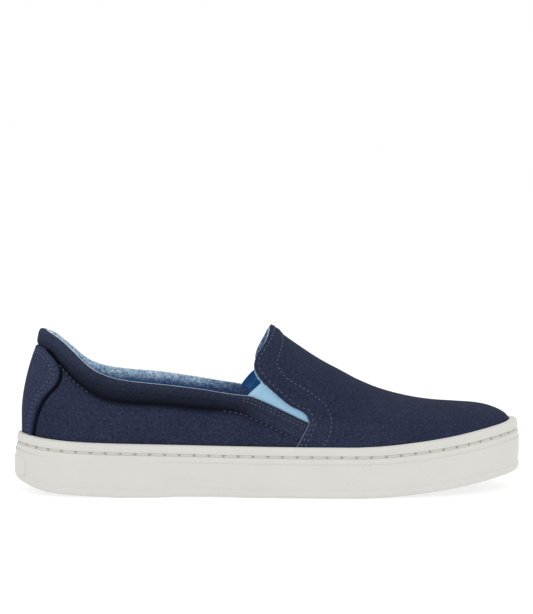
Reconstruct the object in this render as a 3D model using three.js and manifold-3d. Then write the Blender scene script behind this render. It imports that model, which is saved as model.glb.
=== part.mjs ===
// Slip-on sneaker, one right shoe: a hollow canvas upper on a rubber cup sole.
// Millimetres. +X points to the toe, +Y to the inner side of the foot, +Z up, and the floor is Z = 0.
// "Outer" is the side of the little toe, "inner" the side of the arch.
import * as THREE from "three";
import { ParametricGeometry } from "three/addons/geometries/ParametricGeometry.js";
import { mergeVertices } from "three/addons/utils/BufferGeometryUtils.js";
import Module from "manifold-3d";

const wasm = await Module();
wasm.setup();

// Overall sizes
const LENGTH = 269.6;
const BALL_WIDTH = 96;
const HEEL_HEIGHT = 86.8;
const INSTEP_HEIGHT = 86.9;
const SIDE_HEIGHT = 26.6;
const TOE_SPRING = 10;

// Sole
const HEEL_BEVEL = 7;
const ARCH_RISE = 0.5;
const HEEL_BED = 14.5;
const BALL_BED = 8.5;
const TREAD_RADIUS = 1.8;
const FOXING_HEIGHT = 3.9;
const FOXING_STEP = 0.3;
const WALL_BULGE = 0.4;
const WALL_RADIUS = 1.1;
const LIP_HEIGHT = 4.6;
const LIP_INSET = 0.9;
const LIP_RADIUS = 1.3;
const CHANNEL_HEIGHT = 1.2;
const CHANNEL_DEPTH = 1.9;
const GROOVE_WIDTH = 2.4;
const GROOVE_DEPTH = 1.6;
const GROOVE_PITCH = 9;
const TREAD_EDGE = 9;
const HEEL_PAD_WIDTH = 34;
const HEEL_PAD_HEIGHT = 11;
const HEEL_PAD_RISE = 1;
const HEEL_PAD_MIDDLE = 14.6;

// Last: how far the foot form stands in from the outline of the sole
const HEEL_EDGE = 4.4;
const TOE_EDGE = 6.1;
const SIDE_EDGE = 3.9;
const HEEL_LEAN = 11.7;
const LEAN_START = 0.2;
const LEAN_REACH = 0.45;
const LEAN_CURVE = 1.7;

// Upper and what is sewn to it
const UPPER_WALL = 2.2;
const VAMP_STEP = 0.8;
const COUNTER_THICKNESS = 1;
const COLLAR_WIDTH = 10.8;
const COLLAR_PUFF = 7;
const COLLAR_FLAT = 1.9;
const COLLAR_PROUD = 2.3;
const STRIP_PROUD = 0.6;
const COLLAR_TUCK = 0.9;
const INNER_LIFT = 2.4;
const ROLL_ROUNDNESS = 0.8;
const HEEL_ROUNDNESS = 0.6;
const GORE_THICKNESS = 1.2;
const GORE_SUNK = 0.6;
const INSOLE_HEEL = 5.5;
const INSOLE_BALL = 4.2;

// Clearance between pieces that meet, and how far a cutter runs past what it cuts
const FIT = 0.3;
const CUT_OVERLAP = 1;

// Steps of the curved faces
const STATIONS = 36;
const UPPER_ROWS = 8;
const CUT_STEPS = 30;
const REACH = 150;

// Plan of the sole and the last: half widths and the top centre line, as shares of the ball width.
// "at" is the place along the length, from the back of the heel to the toe.
const PLAN = [
  { at: 0, outer: -0.012, inner: 0.012, ridge: 0.012 },
  { at: 0.02, outer: 0.156, inner: 0.18, ridge: 0.012 },
  { at: 0.05, outer: 0.243, inner: 0.267, ridge: 0.012 },
  { at: 0.1, outer: 0.316, inner: 0.34, ridge: 0.012 },
  { at: 0.15, outer: 0.347, inner: 0.366, ridge: 0.011 },
  { at: 0.2, outer: 0.359, inner: 0.371, ridge: 0.01 },
  { at: 0.3, outer: 0.37, inner: 0.351, ridge: 0.01 },
  { at: 0.4, outer: 0.395, inner: 0.332, ridge: 0.014 },
  { at: 0.5, outer: 0.436, inner: 0.342, ridge: 0.022 },
  { at: 0.6, outer: 0.478, inner: 0.398, ridge: 0.034 },
  { at: 0.7, outer: 0.5, inner: 0.474, ridge: 0.046 },
  { at: 0.78, outer: 0.486, inner: 0.5, ridge: 0.054 },
  { at: 0.84, outer: 0.446, inner: 0.482, ridge: 0.057 },
  { at: 0.9, outer: 0.363, inner: 0.43, ridge: 0.058 },
  { at: 0.95, outer: 0.26, inner: 0.337, ridge: 0.058 },
  { at: 0.98, outer: 0.155, inner: 0.23, ridge: 0.058 },
  { at: 1, outer: -0.058, inner: 0.058, ridge: 0.058 },
];

// Underside of the sole: shares of the heel bevel, the arch's rise and the toe spring
const TREAD = [
  { at: 0, bevel: 1, arch: 0, spring: 0 },
  { at: 0.035, bevel: 0.52, arch: 0, spring: 0 },
  { at: 0.06, bevel: 0.31, arch: 0, spring: 0 },
  { at: 0.09, bevel: 0.2, arch: 0, spring: 0 },
  { at: 0.13, bevel: 0.12, arch: 0, spring: 0 },
  { at: 0.2, bevel: 0, arch: 0, spring: 0 },
  { at: 0.275, bevel: 0, arch: 0, spring: 0 },
  { at: 0.32, bevel: 0, arch: 1, spring: 0 },
  { at: 0.38, bevel: 0, arch: 1, spring: 0 },
  { at: 0.44, bevel: 0, arch: 0, spring: 0 },
  { at: 0.67, bevel: 0, arch: 0, spring: 0 },
  { at: 0.714, bevel: 0, arch: 0, spring: 0.05 },
  { at: 0.793, bevel: 0, arch: 0, spring: 0.24 },
  { at: 0.873, bevel: 0, arch: 0, spring: 0.5 },
  { at: 0.952, bevel: 0, arch: 0, spring: 0.82 },
  { at: 1, bevel: 0, arch: 0, spring: 1 },
];

// Side of the sole: its height as a share of the height at the waist, and the drop of the bed inside
const SIDE = [
  { at: 0, height: 1.19, drop: 0 },
  { at: 0.05, height: 1.13, drop: 0 },
  { at: 0.11, height: 1.09, drop: 0 },
  { at: 0.2, height: 1.06, drop: 0.04 },
  { at: 0.3, height: 1.035, drop: 0.25 },
  { at: 0.42, height: 1.01, drop: 0.6 },
  { at: 0.55, height: 1, drop: 0.9 },
  { at: 0.68, height: 1, drop: 1 },
  { at: 1, height: 1.01, drop: 1 },
];

// Cross-sections of the last. "top" is the centre line's height above the lip as a share of the
// instep's height above the lip, and past the collar it runs on as a closed cone. "swell" shapes the
// side: 2 is round, and less leans in sooner. "crown" shapes the top in the same way.
const LAST = [
  { at: 0, top: 1.5, swell: 1.3, crown: 2 },
  { at: 0.1, top: 1.55, swell: 1.3, crown: 2 },
  { at: 0.25, top: 1.52, swell: 1.25, crown: 2 },
  { at: 0.4, top: 1.3, swell: 1.25, crown: 2 },
  { at: 0.455, top: 1.14, swell: 1.35, crown: 2.1 },
  { at: 0.507, top: 0.987, swell: 1.4, crown: 2.2 },
  { at: 0.558, top: 0.83, swell: 1.45, crown: 2.2 },
  { at: 0.608, top: 0.688, swell: 1.5, crown: 2.2 },
  { at: 0.649, top: 0.592, swell: 1.56, crown: 2.2 },
  { at: 0.69, top: 0.496, swell: 1.62, crown: 2.2 },
  { at: 0.731, top: 0.414, swell: 1.7, crown: 2.2 },
  { at: 0.772, top: 0.346, swell: 1.79, crown: 2.2 },
  { at: 0.814, top: 0.288, swell: 1.88, crown: 2.2 },
  { at: 0.855, top: 0.243, swell: 1.95, crown: 2.25 },
  { at: 0.896, top: 0.207, swell: 2, crown: 2.3 },
  { at: 0.937, top: 0.167, swell: 2, crown: 2.3 },
  { at: 0.979, top: 0.094, swell: 2, crown: 2.25 },
  { at: 1, top: 0, swell: 2, crown: 2.2 },
];

// Top line of the collar from the back round to the vamp: its height above the sole's side as a share
// of the heel's or instep's height above it, its share of the inner side's lift, how far the roll is
// puffed, from 1 down to 0, flat, and its width as a share of the widest.
const TOP_LINE = [
  { at: 0, up: 0.985, lift: 0, puff: 0.88, width: 0.85 },
  { at: 0.025, up: 0.947, lift: 0.04, puff: 0.92, width: 0.77 },
  { at: 0.049, up: 0.899, lift: -0.2, puff: 1, width: 0.75 },
  { at: 0.077, up: 0.825, lift: -0.17, puff: 1, width: 0.82 },
  { at: 0.102, up: 0.748, lift: -0.04, puff: 1, width: 0.85 },
  { at: 0.126, up: 0.676, lift: 0.2, puff: 1, width: 0.9 },
  { at: 0.1475, up: 0.631, lift: 0.38, puff: 1, width: 0.99 },
  { at: 0.179, up: 0.587, lift: 0.67, puff: 1, width: 1.04 },
  { at: 0.211, up: 0.562, lift: 0.87, puff: 1, width: 1.02 },
  { at: 0.283, up: 0.529, lift: 1, puff: 1, width: 0.95 },
  { at: 0.355, up: 0.49, lift: 0.92, puff: 0.85, width: 0.93 },
  { at: 0.425, up: 0.443, lift: 0.83, puff: 0.5, width: 0.82 },
  { at: 0.4534, up: 0.43, lift: 0.58, puff: 0.38, width: 0.9 },
  { at: 0.4812, up: 0.387, lift: 0.42, puff: 0.22, width: 0.95 },
  { at: 0.5248, up: 0.299, lift: 0, puff: 0, width: 0.94 },
  { at: 0.5718, up: 0.203, lift: 0, puff: 0, width: 0.93 },
  { at: 0.605, up: 0.135, lift: 0, puff: 0, width: 0.93 },
];

// Rear edge of the vamp in the side view, from the tip of the instep down to the sole. "inner" takes the
// place of "at" on the inner side.
const VAMP_EDGE = [
  { at: 0.51, inner: 0.51, up: 1.02 },
  { at: 0.4995, inner: 0.498, up: 0.915 },
  { at: 0.482, inner: 0.486, up: 0.807 },
  { at: 0.4709, inner: 0.4818, up: 0.748 },
  { at: 0.4673, inner: 0.482, up: 0.681 },
  { at: 0.4715, inner: 0.4845, up: 0.62 },
  { at: 0.482, inner: 0.491, up: 0.555 },
  { at: 0.5087, inner: 0.5125, up: 0.449 },
  { at: 0.5352, inner: 0.5365, up: 0.353 },
  { at: 0.5609, inner: 0.5609, up: 0.3 },
  { at: 0.5721, inner: 0.5721, up: 0.25 },
  { at: 0.5717, inner: 0.5717, up: 0.19 },
  { at: 0.5617, inner: 0.5617, up: 0.106 },
  { at: 0.5475, inner: 0.5475, up: -0.002 },
  { at: 0.5345, inner: 0.5345, up: -0.12 },
];

// Rear top edge of the gore, from the collar up to the vamp, with "inner" as above
const GORE_TOP = [
  { at: 0.442, inner: 0.441, up: 0.4 },
  { at: 0.4534, inner: 0.4515, up: 0.443 },
  { at: 0.4825, inner: 0.471, up: 0.552 },
  { at: 0.497, inner: 0.4835, up: 0.605 },
];

// Front edge of the heel counter, from the collar's seam down into the sole
const COUNTER_EDGE = [
  { at: 0.04, up: 0.87 },
  { at: 0.0528, up: 0.797 },
  { at: 0.0653, up: 0.733 },
  { at: 0.0725, up: 0.674 },
  { at: 0.0742, up: 0.628 },
  { at: 0.0705, up: 0.566 },
  { at: 0.0614, up: 0.503 },
  { at: 0.0506, up: 0.456 },
  { at: 0.0397, up: 0.391 },
  { at: 0.0307, up: 0.313 },
  { at: 0.0249, up: 0.233 },
  { at: 0.0213, up: 0.152 },
  { at: 0.0194, up: 0.06 },
  { at: 0.0186, up: -0.1 },
];

const turnOf = (at) => Math.acos(1 - 2 * Math.min(Math.max(at, 0), 1));
const asIs = (at) => at;

// One column of a table as a smooth function of the place along the shoe, level at its turning points
function smooth(rows, column, place = asIs) {
  const knots = rows.map((row) => place(row.at));
  const values = rows.map((row) => row[column]);
  const last = rows.length - 1;
  const steps = knots.slice(1).map((knot, i) => (values[i + 1] - values[i]) / (knot - knots[i]));
  const slopes = values.map((value, i) => {
    if (i === 0) return steps[0];
    if (i === last) return steps[last - 1];
    const turning = steps[i - 1] * steps[i] <= 0;
    return turning ? 0 : (2 * steps[i - 1] * steps[i]) / (steps[i - 1] + steps[i]);
  });
  return (at) => {
    const where = Math.min(Math.max(place(at), knots[0]), knots[last]);
    const i = Math.min(knots.findLastIndex((knot) => knot <= where), last - 1);
    const span = knots[i + 1] - knots[i];
    const u = (where - knots[i]) / span;
    return (
      (1 + 2 * u) * (1 - u) ** 2 * values[i] +
      u * (1 - u) ** 2 * span * slopes[i] +
      u * u * (3 - 2 * u) * values[i + 1] +
      u * u * (u - 1) * span * slopes[i + 1]
    );
  };
}

// Plan lines, heights and sections as functions of the place along the shoe
const outerLine = smooth(PLAN, "outer", turnOf);
const innerLine = smooth(PLAN, "inner", turnOf);
const ridgeLine = smooth(PLAN, "ridge");
const bevel = smooth(TREAD, "bevel");
const arch = smooth(TREAD, "arch");
const spring = smooth(TREAD, "spring");
const sideShare = smooth(SIDE, "height");
const bedDrop = smooth(SIDE, "drop");
const topShare = smooth(LAST, "top", turnOf);
const swell = smooth(LAST, "swell");
const crown = smooth(LAST, "crown");
const topLine = smooth(TOP_LINE, "up");
const innerLift = smooth(TOP_LINE, "lift");
const puff = smooth(TOP_LINE, "puff");
const widthShare = smooth(TOP_LINE, "width");

const FORM_BACK = HEEL_EDGE - LENGTH / 2;
const FORM_LENGTH = LENGTH - HEEL_EDGE - TOE_EDGE;

const soleShare = (x) => x / LENGTH + 0.5;
const rise = (x) => TOE_SPRING * spring(soleShare(x));
const treadZ = (x) => HEEL_BEVEL * bevel(soleShare(x)) + ARCH_RISE * arch(soleShare(x)) + rise(x);
const lipZ = (x) => SIDE_HEIGHT * sideShare(soleShare(x)) + rise(x);
const bedZ = (x) => HEEL_BED - (HEEL_BED - BALL_BED) * bedDrop(soleShare(x)) + rise(x);

// A point of the side view from shares of the last's length and of the height above the sole's side
function sidePoint(at, up) {
  const front = THREE.MathUtils.smoothstep(at, 0.2, 0.45);
  const height = THREE.MathUtils.lerp(HEEL_HEIGHT, INSTEP_HEIGHT, front);
  return new THREE.Vector2(FORM_BACK + FORM_LENGTH * at, SIDE_HEIGHT + up * (height - SIDE_HEIGHT));
}

// How far the back of the last leans forward at a height
function leanAt(z, at) {
  const up = (z - lipZ(FORM_BACK)) / (HEEL_HEIGHT - lipZ(FORM_BACK));
  const share = Math.max(0, up - LEAN_START) / (1 - LEAN_START);
  const fade = Math.max(0, 1 - at / LEAN_REACH) ** 2;
  return HEEL_LEAN * share ** LEAN_CURVE * fade;
}

// A point of the last at a turn along it (0 at the back, PI at the toe), on side -1 outer or 1 inner.
// "climb" goes from 0 at the lip to a quarter turn on the centre line.
function lastPoint(turn, side, climb, z) {
  const at = (1 - Math.cos(turn)) / 2;
  const x = FORM_BACK + FORM_LENGTH * at;
  const line = side < 0 ? outerLine(at) : innerLine(at);
  const ridge = ridgeLine(at) * BALL_WIDTH;
  const half = line * BALL_WIDTH - side * ridge - SIDE_EDGE * Math.sin(turn);
  const across = Math.max(0, half) * Math.cos(climb) ** (2 / crown(at));
  return new THREE.Vector3(x + leanAt(z, at), ridge + side * across, z);
}

function lastHeight(turn) {
  return topShare((1 - Math.cos(turn)) / 2) * (INSTEP_HEIGHT - SIDE_HEIGHT);
}

// The same point found by its height above the floor
function lastPointAtHeight(turn, side, z) {
  const at = (1 - Math.cos(turn)) / 2;
  const lip = lipZ(FORM_BACK + FORM_LENGTH * at);
  const share = THREE.MathUtils.clamp((z - lip) / Math.max(lastHeight(turn), FIT), 0, 1);
  const climb = Math.asin(share ** (swell(at) / 2));
  return lastPoint(turn, side, climb, z);
}

// A closed mesh with shared corners and no flat triangles
function welded(geometry) {
  geometry.deleteAttribute("normal");
  geometry.deleteAttribute("uv");
  const merged = mergeVertices(geometry, 1e-3);
  const corners = merged.index.array;
  const kept = [];
  for (let i = 0; i < corners.length; i += 3) {
    const [a, b, c] = corners.slice(i, i + 3);
    if (a !== b && b !== c && c !== a) kept.push(a, b, c);
  }
  merged.setIndex(kept);
  return merged;
}

function solidOf(geometry) {
  const mesh = new wasm.Mesh({
    numProp: 3,
    vertProperties: new Float32Array(geometry.attributes.position.array),
    triVerts: new Uint32Array(geometry.index.array),
  });
  return new wasm.Manifold(mesh);
}

function geometryOf(solid) {
  const mesh = solid.getMesh();
  const geometry = new THREE.BufferGeometry();
  geometry.setAttribute("position", new THREE.BufferAttribute(mesh.vertProperties, 3));
  geometry.setIndex(new THREE.BufferAttribute(mesh.triVerts, 1));
  geometry.computeVertexNormals();
  return geometry;
}

// A closed pillow of cross-sections along the shoe. "sectionPoint" gives the point of one row of a
// section on one side. Row 0 is the bottom's middle, and the last row is the top's middle.
function pillow(rows, sectionPoint) {
  const top = rows - 1;
  const around = 2 * top;
  const place = (u, v, target) => {
    const step = Math.round(u * around) % around;
    const side = step <= top ? 1 : -1;
    const row = step <= top ? step : around - step;
    target.copy(sectionPoint(Math.PI * v, side, row));
  };
  return welded(new ParametricGeometry(place, around, STATIONS));
}

// The last, drawn out by "out" and with its bottom let down by "drop"
const CUP_ROWS = 1;
const lastRows = CUP_ROWS + 2 + UPPER_ROWS;

function lastSection(turn, side, row) {
  const at = (1 - Math.cos(turn)) / 2;
  const x = FORM_BACK + FORM_LENGTH * at;
  const low = bedZ(x) + FIT;
  if (row === 0) {
    const point = lastPoint(turn, side, 0, low);
    return point.setY(ridgeLine(at) * BALL_WIDTH);
  }
  if (row <= CUP_ROWS + 1) {
    const z = THREE.MathUtils.lerp(low, lipZ(x), (row - 1) / CUP_ROWS);
    return lastPoint(turn, side, 0, z);
  }
  const climb = ((row - CUP_ROWS - 1) / UPPER_ROWS) * (Math.PI / 2);
  const z = lipZ(x) + lastHeight(turn) * Math.sin(climb) ** (2 / swell(at));
  return lastPoint(turn, side, climb, z);
}

const lastGeometry = pillow(lastRows, lastSection);
lastGeometry.computeVertexNormals();

function lastForm(out, drop = 0) {
  const geometry = lastGeometry.clone();
  const position = geometry.attributes.position;
  const normal = geometry.attributes.normal;
  const point = new THREE.Vector3();
  const facing = new THREE.Vector3();
  for (let i = 0; i < position.count; i += 1) {
    point.fromBufferAttribute(position, i);
    facing.fromBufferAttribute(normal, i);
    const under = point.z < bedZ(point.x) + 2 * FIT;
    point.addScaledVector(facing, out);
    if (under) point.z -= drop;
    position.setXYZ(i, point.x, point.y, point.z);
  }
  return solidOf(geometry);
}

// A cutter with an outline in the side view, right across the shoe or from one place to another
function sideCutter(points, from = -REACH, to = REACH) {
  const prism = new THREE.ExtrudeGeometry(new THREE.Shape(points), { depth: to - from, bevelEnabled: false });
  prism.rotateX(Math.PI / 2);
  prism.translate(0, to, 0);
  return solidOf(welded(prism));
}

function sideCurve(rows, column = "at") {
  const points = rows.map((row) => sidePoint(row[column], row.up));
  return new THREE.SplineCurve(points).getPoints(CUT_STEPS);
}

// A side-view line moved along its own normal, to the left of its direction
function shifted(points, distance) {
  return points.map((point, i) => {
    const before = points[Math.max(i - 1, 0)];
    const after = points[Math.min(i + 1, points.length - 1)];
    const along = after.clone().sub(before).normalize();
    return point.clone().add(new THREE.Vector2(-along.y, along.x).multiplyScalar(distance));
  });
}

const corner = (x, z) => new THREE.Vector2(x, z);

// The seam between the outer and the inner half of a cutter
const HALF_LINE = ridgeLine(0.5) * BALL_WIDTH;

// A cutter with one side-view outline for the outer half of the shoe and another for the inner half
function halvesCutter(outlineOf) {
  const outer = sideCutter(outlineOf(-1), -REACH, HALF_LINE);
  return outer.add(sideCutter(outlineOf(1), HALF_LINE, REACH));
}

// Everything in front of the vamp's rear edge, moved back by "back"
function vampRegion(back = 0) {
  return halvesCutter((side) => {
    const edge = shifted(sideCurve(VAMP_EDGE, side < 0 ? "at" : "inner"), -back);
    const first = edge[0];
    const last = edge[edge.length - 1];
    return [corner(first.x, REACH), ...edge, corner(last.x, -REACH), corner(LENGTH, -REACH), corner(LENGTH, REACH)];
  });
}

// The collar: its path along the top line, from the outer vamp edge round the heel to the inner one
const COLLAR_END = TOP_LINE[TOP_LINE.length - 1].at;
const COLLAR_STEPS = 28;
const COLLAR_SIDES = 12;

// The roll's frame at a signed turn: the top line's point, the way out and the way down in the wall
function collarFrame(turn) {
  const pointAt = (signed, extra) => {
    const at = (1 - Math.cos(signed)) / 2;
    const lift = signed > 0 ? INNER_LIFT * innerLift(at) : 0;
    const height = sidePoint(at, topLine(at)).y + lift + extra;
    return lastPointAtHeight(Math.abs(signed), signed < 0 ? -1 : 1, height);
  };
  const small = 0.01;
  const point = pointAt(turn, 0);
  const along = pointAt(turn + small, 0).sub(pointAt(turn - small, 0)).normalize();
  const below = pointAt(turn, -COLLAR_WIDTH / 2).sub(point);
  const out = along.clone().cross(below).normalize();
  const down = out.clone().cross(along).normalize();
  return { point, out, down };
}

function collarSection(turn, extra, corners) {
  const at = (1 - Math.cos(turn)) / 2;
  const { point, out, down } = collarFrame(turn);
  const thick = THREE.MathUtils.lerp(COLLAR_FLAT, COLLAR_PUFF, puff(at));
  const tuck = COLLAR_TUCK * (1 - THREE.MathUtils.smoothstep(at, 0.02, 0.12));
  const heel = 1 - THREE.MathUtils.smoothstep(at, 0.02, 0.1);
  const power = THREE.MathUtils.lerp(ROLL_ROUNDNESS, HEEL_ROUNDNESS, heel);
  const squared = (value) => Math.sign(value) * Math.abs(value) ** power;
  const outer = THREE.MathUtils.lerp(STRIP_PROUD, COLLAR_PROUD, puff(at));
  const width = COLLAR_WIDTH * widthShare(at);
  const section = [];
  for (let i = 0; i < corners; i += 1) {
    const angle = (-2 * Math.PI * i) / corners;
    const lower = squared(Math.sin(angle));
    const outward = outer - thick / 2 + (thick / 2 + extra) * squared(Math.cos(angle)) - tuck * lower;
    const downward = width / 2 + (width / 2 + extra) * lower;
    section.push(point.clone().addScaledVector(out, outward).addScaledVector(down, downward));
  }
  return section;
}

function collarRoll(extra) {
  const end = turnOf(COLLAR_END);
  const spans = 2 * COLLAR_STEPS;
  const rings = [];
  for (let i = 0; i <= spans; i += 1) {
    const share = i / COLLAR_STEPS - 1;
    rings.push(collarSection(share * end, extra, COLLAR_SIDES));
  }
  const middle = (ring) => ring.reduce((sum, p) => sum.add(p), new THREE.Vector3()).divideScalar(ring.length);
  const place = (u, v, target) => {
    const step = Math.round(v * (spans + 2));
    const i = Math.round(u * COLLAR_SIDES) % COLLAR_SIDES;
    if (step === 0) target.copy(middle(rings[0]));
    else if (step === spans + 2) target.copy(middle(rings[spans]));
    else target.copy(rings[step - 1][i]);
  };
  return solidOf(welded(new ParametricGeometry(place, COLLAR_SIDES, spans + 2)));
}

// Side view of a line along the collar on one side, from the back of the heel forwards: "across" is its
// place in the collar's width, 0 at the top and 1 at the lower seam, and "gap" lies below that
function collarSeam(side, across, gap) {
  const end = turnOf(COLLAR_END);
  const line = [];
  for (let i = 0; i <= CUT_STEPS; i += 1) {
    const turn = (end * i) / CUT_STEPS;
    const { point, down } = collarFrame(side * turn);
    const width = COLLAR_WIDTH * widthShare((1 - Math.cos(turn)) / 2);
    const seam = point.clone().addScaledVector(down, width * across + gap);
    line.push(corner(seam.x, seam.z));
  }
  return line;
}

// Everything above the collar's lower seam
function openingRegion(gap) {
  return halvesCutter((side) => {
    const line = collarSeam(side, 1, gap);
    const first = line[0];
    const last = line[line.length - 1];
    return [corner(-LENGTH, REACH), corner(-LENGTH, first.y), ...line, corner(last.x, REACH)];
  });
}

function counterRegion(gap) {
  const edge = shifted(sideCurve(COUNTER_EDGE), gap);
  const first = edge[0];
  const last = edge[edge.length - 1];
  return sideCutter([corner(-LENGTH, last.y - REACH), corner(last.x, last.y - REACH), ...edge.reverse(),
    corner(first.x, REACH), corner(-LENGTH, REACH)]);
}

// Outer skin of the upper: the quarters on the last's face and the vamp a step proud of it
function upperSkin(extra) {
  const vamp = lastForm(VAMP_STEP + extra).intersect(vampRegion(extra));
  return lastForm(extra).add(vamp);
}

function makeUpper() {
  const hollow = lastForm(-UPPER_WALL, UPPER_WALL + 2 * FIT + CUT_OVERLAP);
  const opening = openingRegion(FIT).subtract(vampRegion());
  const shell = upperSkin(0).subtract(hollow).subtract(bedBelow(FIT));
  return shell.subtract(opening).subtract(collarRoll(FIT));
}

function makeCounter() {
  const shell = lastForm(FIT + COUNTER_THICKNESS).subtract(lastForm(FIT));
  return shell.intersect(counterRegion(0)).subtract(openingRegion(FIT)).subtract(bedBelow(FIT));
}

// Everything below the bed of the sole, raised by "up"
function bedBelow(up) {
  const line = [];
  for (let i = 0; i <= CUT_STEPS; i += 1) {
    const x = THREE.MathUtils.lerp(-LENGTH / 2, LENGTH / 2, i / CUT_STEPS);
    line.push(corner(x, bedZ(x) + up));
  }
  return sideCutter([corner(-LENGTH / 2, -REACH), corner(LENGTH / 2, -REACH), ...line.reverse()]);
}

function makeCollar() {
  return collarRoll(0).subtract(vampRegion(FIT));
}

// An elastic gusset, set a little in from the face of the quarter
function makeGore(side) {
  const shell = lastForm(-GORE_SUNK).subtract(lastForm(-GORE_SUNK - GORE_THICKNESS));
  const edge = sideCurve(GORE_TOP, side < 0 ? "at" : "inner");
  const last = edge[edge.length - 1];
  const front = sidePoint(COLLAR_END, 0);
  const region = sideCutter(
    [...edge, corner(front.x, last.y), corner(front.x, front.y), corner(edge[0].x, front.y)],
    side < 0 ? -REACH : 0,
    side < 0 ? 0 : REACH,
  );
  const piece = shell.intersect(region).subtract(vampRegion(FIT)).subtract(collarRoll(FIT));
  return piece.subtract(belowCollar(side));
}

// Everything below the middle of the collar on one side
function belowCollar(side) {
  const line = collarSeam(side, 0.5, 0);
  return sideCutter([
    corner(line[0].x, -REACH),
    corner(line[line.length - 1].x + CUT_OVERLAP, -REACH),
    corner(line[line.length - 1].x + CUT_OVERLAP, line[line.length - 1].y),
    ...line.slice().reverse(),
  ]);
}

// The footbed, thicker under the heel
function makeInsole() {
  const under = [];
  const over = [];
  for (let i = 0; i <= CUT_STEPS; i += 1) {
    const x = THREE.MathUtils.lerp(-LENGTH / 2, LENGTH / 2, i / CUT_STEPS);
    const thick = THREE.MathUtils.lerp(INSOLE_HEEL, INSOLE_BALL, bedDrop(soleShare(x)));
    under.push(corner(x, bedZ(x) + FIT));
    over.push(corner(x, bedZ(x) + FIT + thick));
  }
  const slab = sideCutter([...under, ...over.reverse()]);
  return lastForm(-UPPER_WALL - FIT, UPPER_WALL + 2 * FIT + CUT_OVERLAP).intersect(slab);
}

// Rows of the sole's side from the tread to the lip: "from" is 0 for the tread's edge and 1 for the
// lip's top, "up" a height from there, and "out" how far the row stands out from the plan line.
function wallRows() {
  const rows = [];
  const arcSteps = 2;
  for (let i = 0; i <= arcSteps; i += 1) {
    const angle = (i / arcSteps) * (Math.PI / 2);
    rows.push({ from: 0, up: TREAD_RADIUS * (1 - Math.cos(angle)), out: -TREAD_RADIUS * (1 - Math.sin(angle)) });
  }
  rows.push({ from: 0, up: FOXING_HEIGHT, out: 0 });
  rows.push({ from: 0, up: FOXING_HEIGHT + FOXING_STEP, out: -FOXING_STEP });
  rows.push({ from: 0.45, up: 0, out: WALL_BULGE - FOXING_STEP });
  const wallTop = -LIP_HEIGHT - CHANNEL_HEIGHT;
  for (let i = 0; i <= arcSteps; i += 1) {
    const angle = (i / arcSteps) * (Math.PI / 2);
    const out = -FOXING_STEP - WALL_RADIUS * (1 - Math.cos(angle));
    rows.push({ from: 1, up: wallTop - WALL_RADIUS * (1 - Math.sin(angle)), out });
  }
  rows.push({ from: 1, up: wallTop, out: -CHANNEL_DEPTH });
  rows.push({ from: 1, up: -LIP_HEIGHT, out: -CHANNEL_DEPTH });
  rows.push({ from: 1, up: -LIP_HEIGHT, out: -LIP_INSET });
  for (let i = 0; i <= arcSteps; i += 1) {
    const angle = (i / arcSteps) * (Math.PI / 2);
    const out = -LIP_INSET - LIP_RADIUS * (1 - Math.cos(angle));
    rows.push({ from: 1, up: -LIP_RADIUS * (1 - Math.sin(angle)), out });
  }
  return rows;
}

// The plan line of the sole at a turn along it, and its outward normal
function planPoint(turn, side) {
  const at = (1 - Math.cos(turn)) / 2;
  const line = side < 0 ? outerLine(at) : innerLine(at);
  return new THREE.Vector2(LENGTH * (at - 0.5), side * line * BALL_WIDTH);
}

function planNormal(turn, side) {
  const small = 1e-3;
  const before = turn < small ? planPoint(small, -side) : planPoint(turn - small, side);
  const after = turn > Math.PI - small ? planPoint(Math.PI - small, -side) : planPoint(turn + small, side);
  const along = after.sub(before).normalize();
  return new THREE.Vector2(-side * along.y, side * along.x);
}

function soleBlank(extra) {
  const rows = wallRows();
  const section = (turn, side, row) => {
    const plan = planPoint(turn, side);
    const x = plan.x;
    if (row === 0 || row === rows.length + 1) {
      const middle = (planPoint(turn, -1).y + planPoint(turn, 1).y) / 2;
      const level = row === 0 ? rows[0] : rows[rows.length - 1];
      const shift = planNormal(turn, side).x * (level.out + extra);
      return new THREE.Vector3(x + shift, middle, row === 0 ? treadZ(x) : lipZ(x));
    }
    const { from, up, out } = rows[row - 1];
    const z = THREE.MathUtils.lerp(treadZ(x), lipZ(x), from) + up;
    plan.addScaledVector(planNormal(turn, side), out + extra);
    return new THREE.Vector3(plan.x, plan.y, z);
  };
  return solidOf(pillow(rows.length + 2, section));
}

// Transverse slots in the tread, which leave lugs between them and a band round the edge
function treadSlots() {
  const zones = [
    { from: 0.06, to: 0.19 },
    { from: 0.6, to: 0.93 },
  ];
  const slots = [];
  for (const zone of zones) {
    const start = LENGTH * (zone.from - 0.5);
    const count = Math.floor((LENGTH * (zone.to - zone.from)) / GROOVE_PITCH);
    for (let i = 0; i <= count; i += 1) {
      const x = start + i * GROOVE_PITCH;
      const outerEnd = -(outerLine(soleShare(x)) * BALL_WIDTH - TREAD_EDGE);
      const innerEnd = innerLine(soleShare(x)) * BALL_WIDTH - TREAD_EDGE;
      const halfSlot = GROOVE_WIDTH / 2;
      const outline = [
        corner(x - halfSlot, -GROOVE_DEPTH),
        corner(x + halfSlot, -GROOVE_DEPTH),
        corner(x + halfSlot, treadZ(x) + GROOVE_DEPTH),
        corner(x - halfSlot, treadZ(x) + GROOVE_DEPTH),
      ];
      slots.push(sideCutter(outline, outerEnd, innerEnd));
    }
  }
  return wasm.Manifold.union(slots);
}

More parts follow.
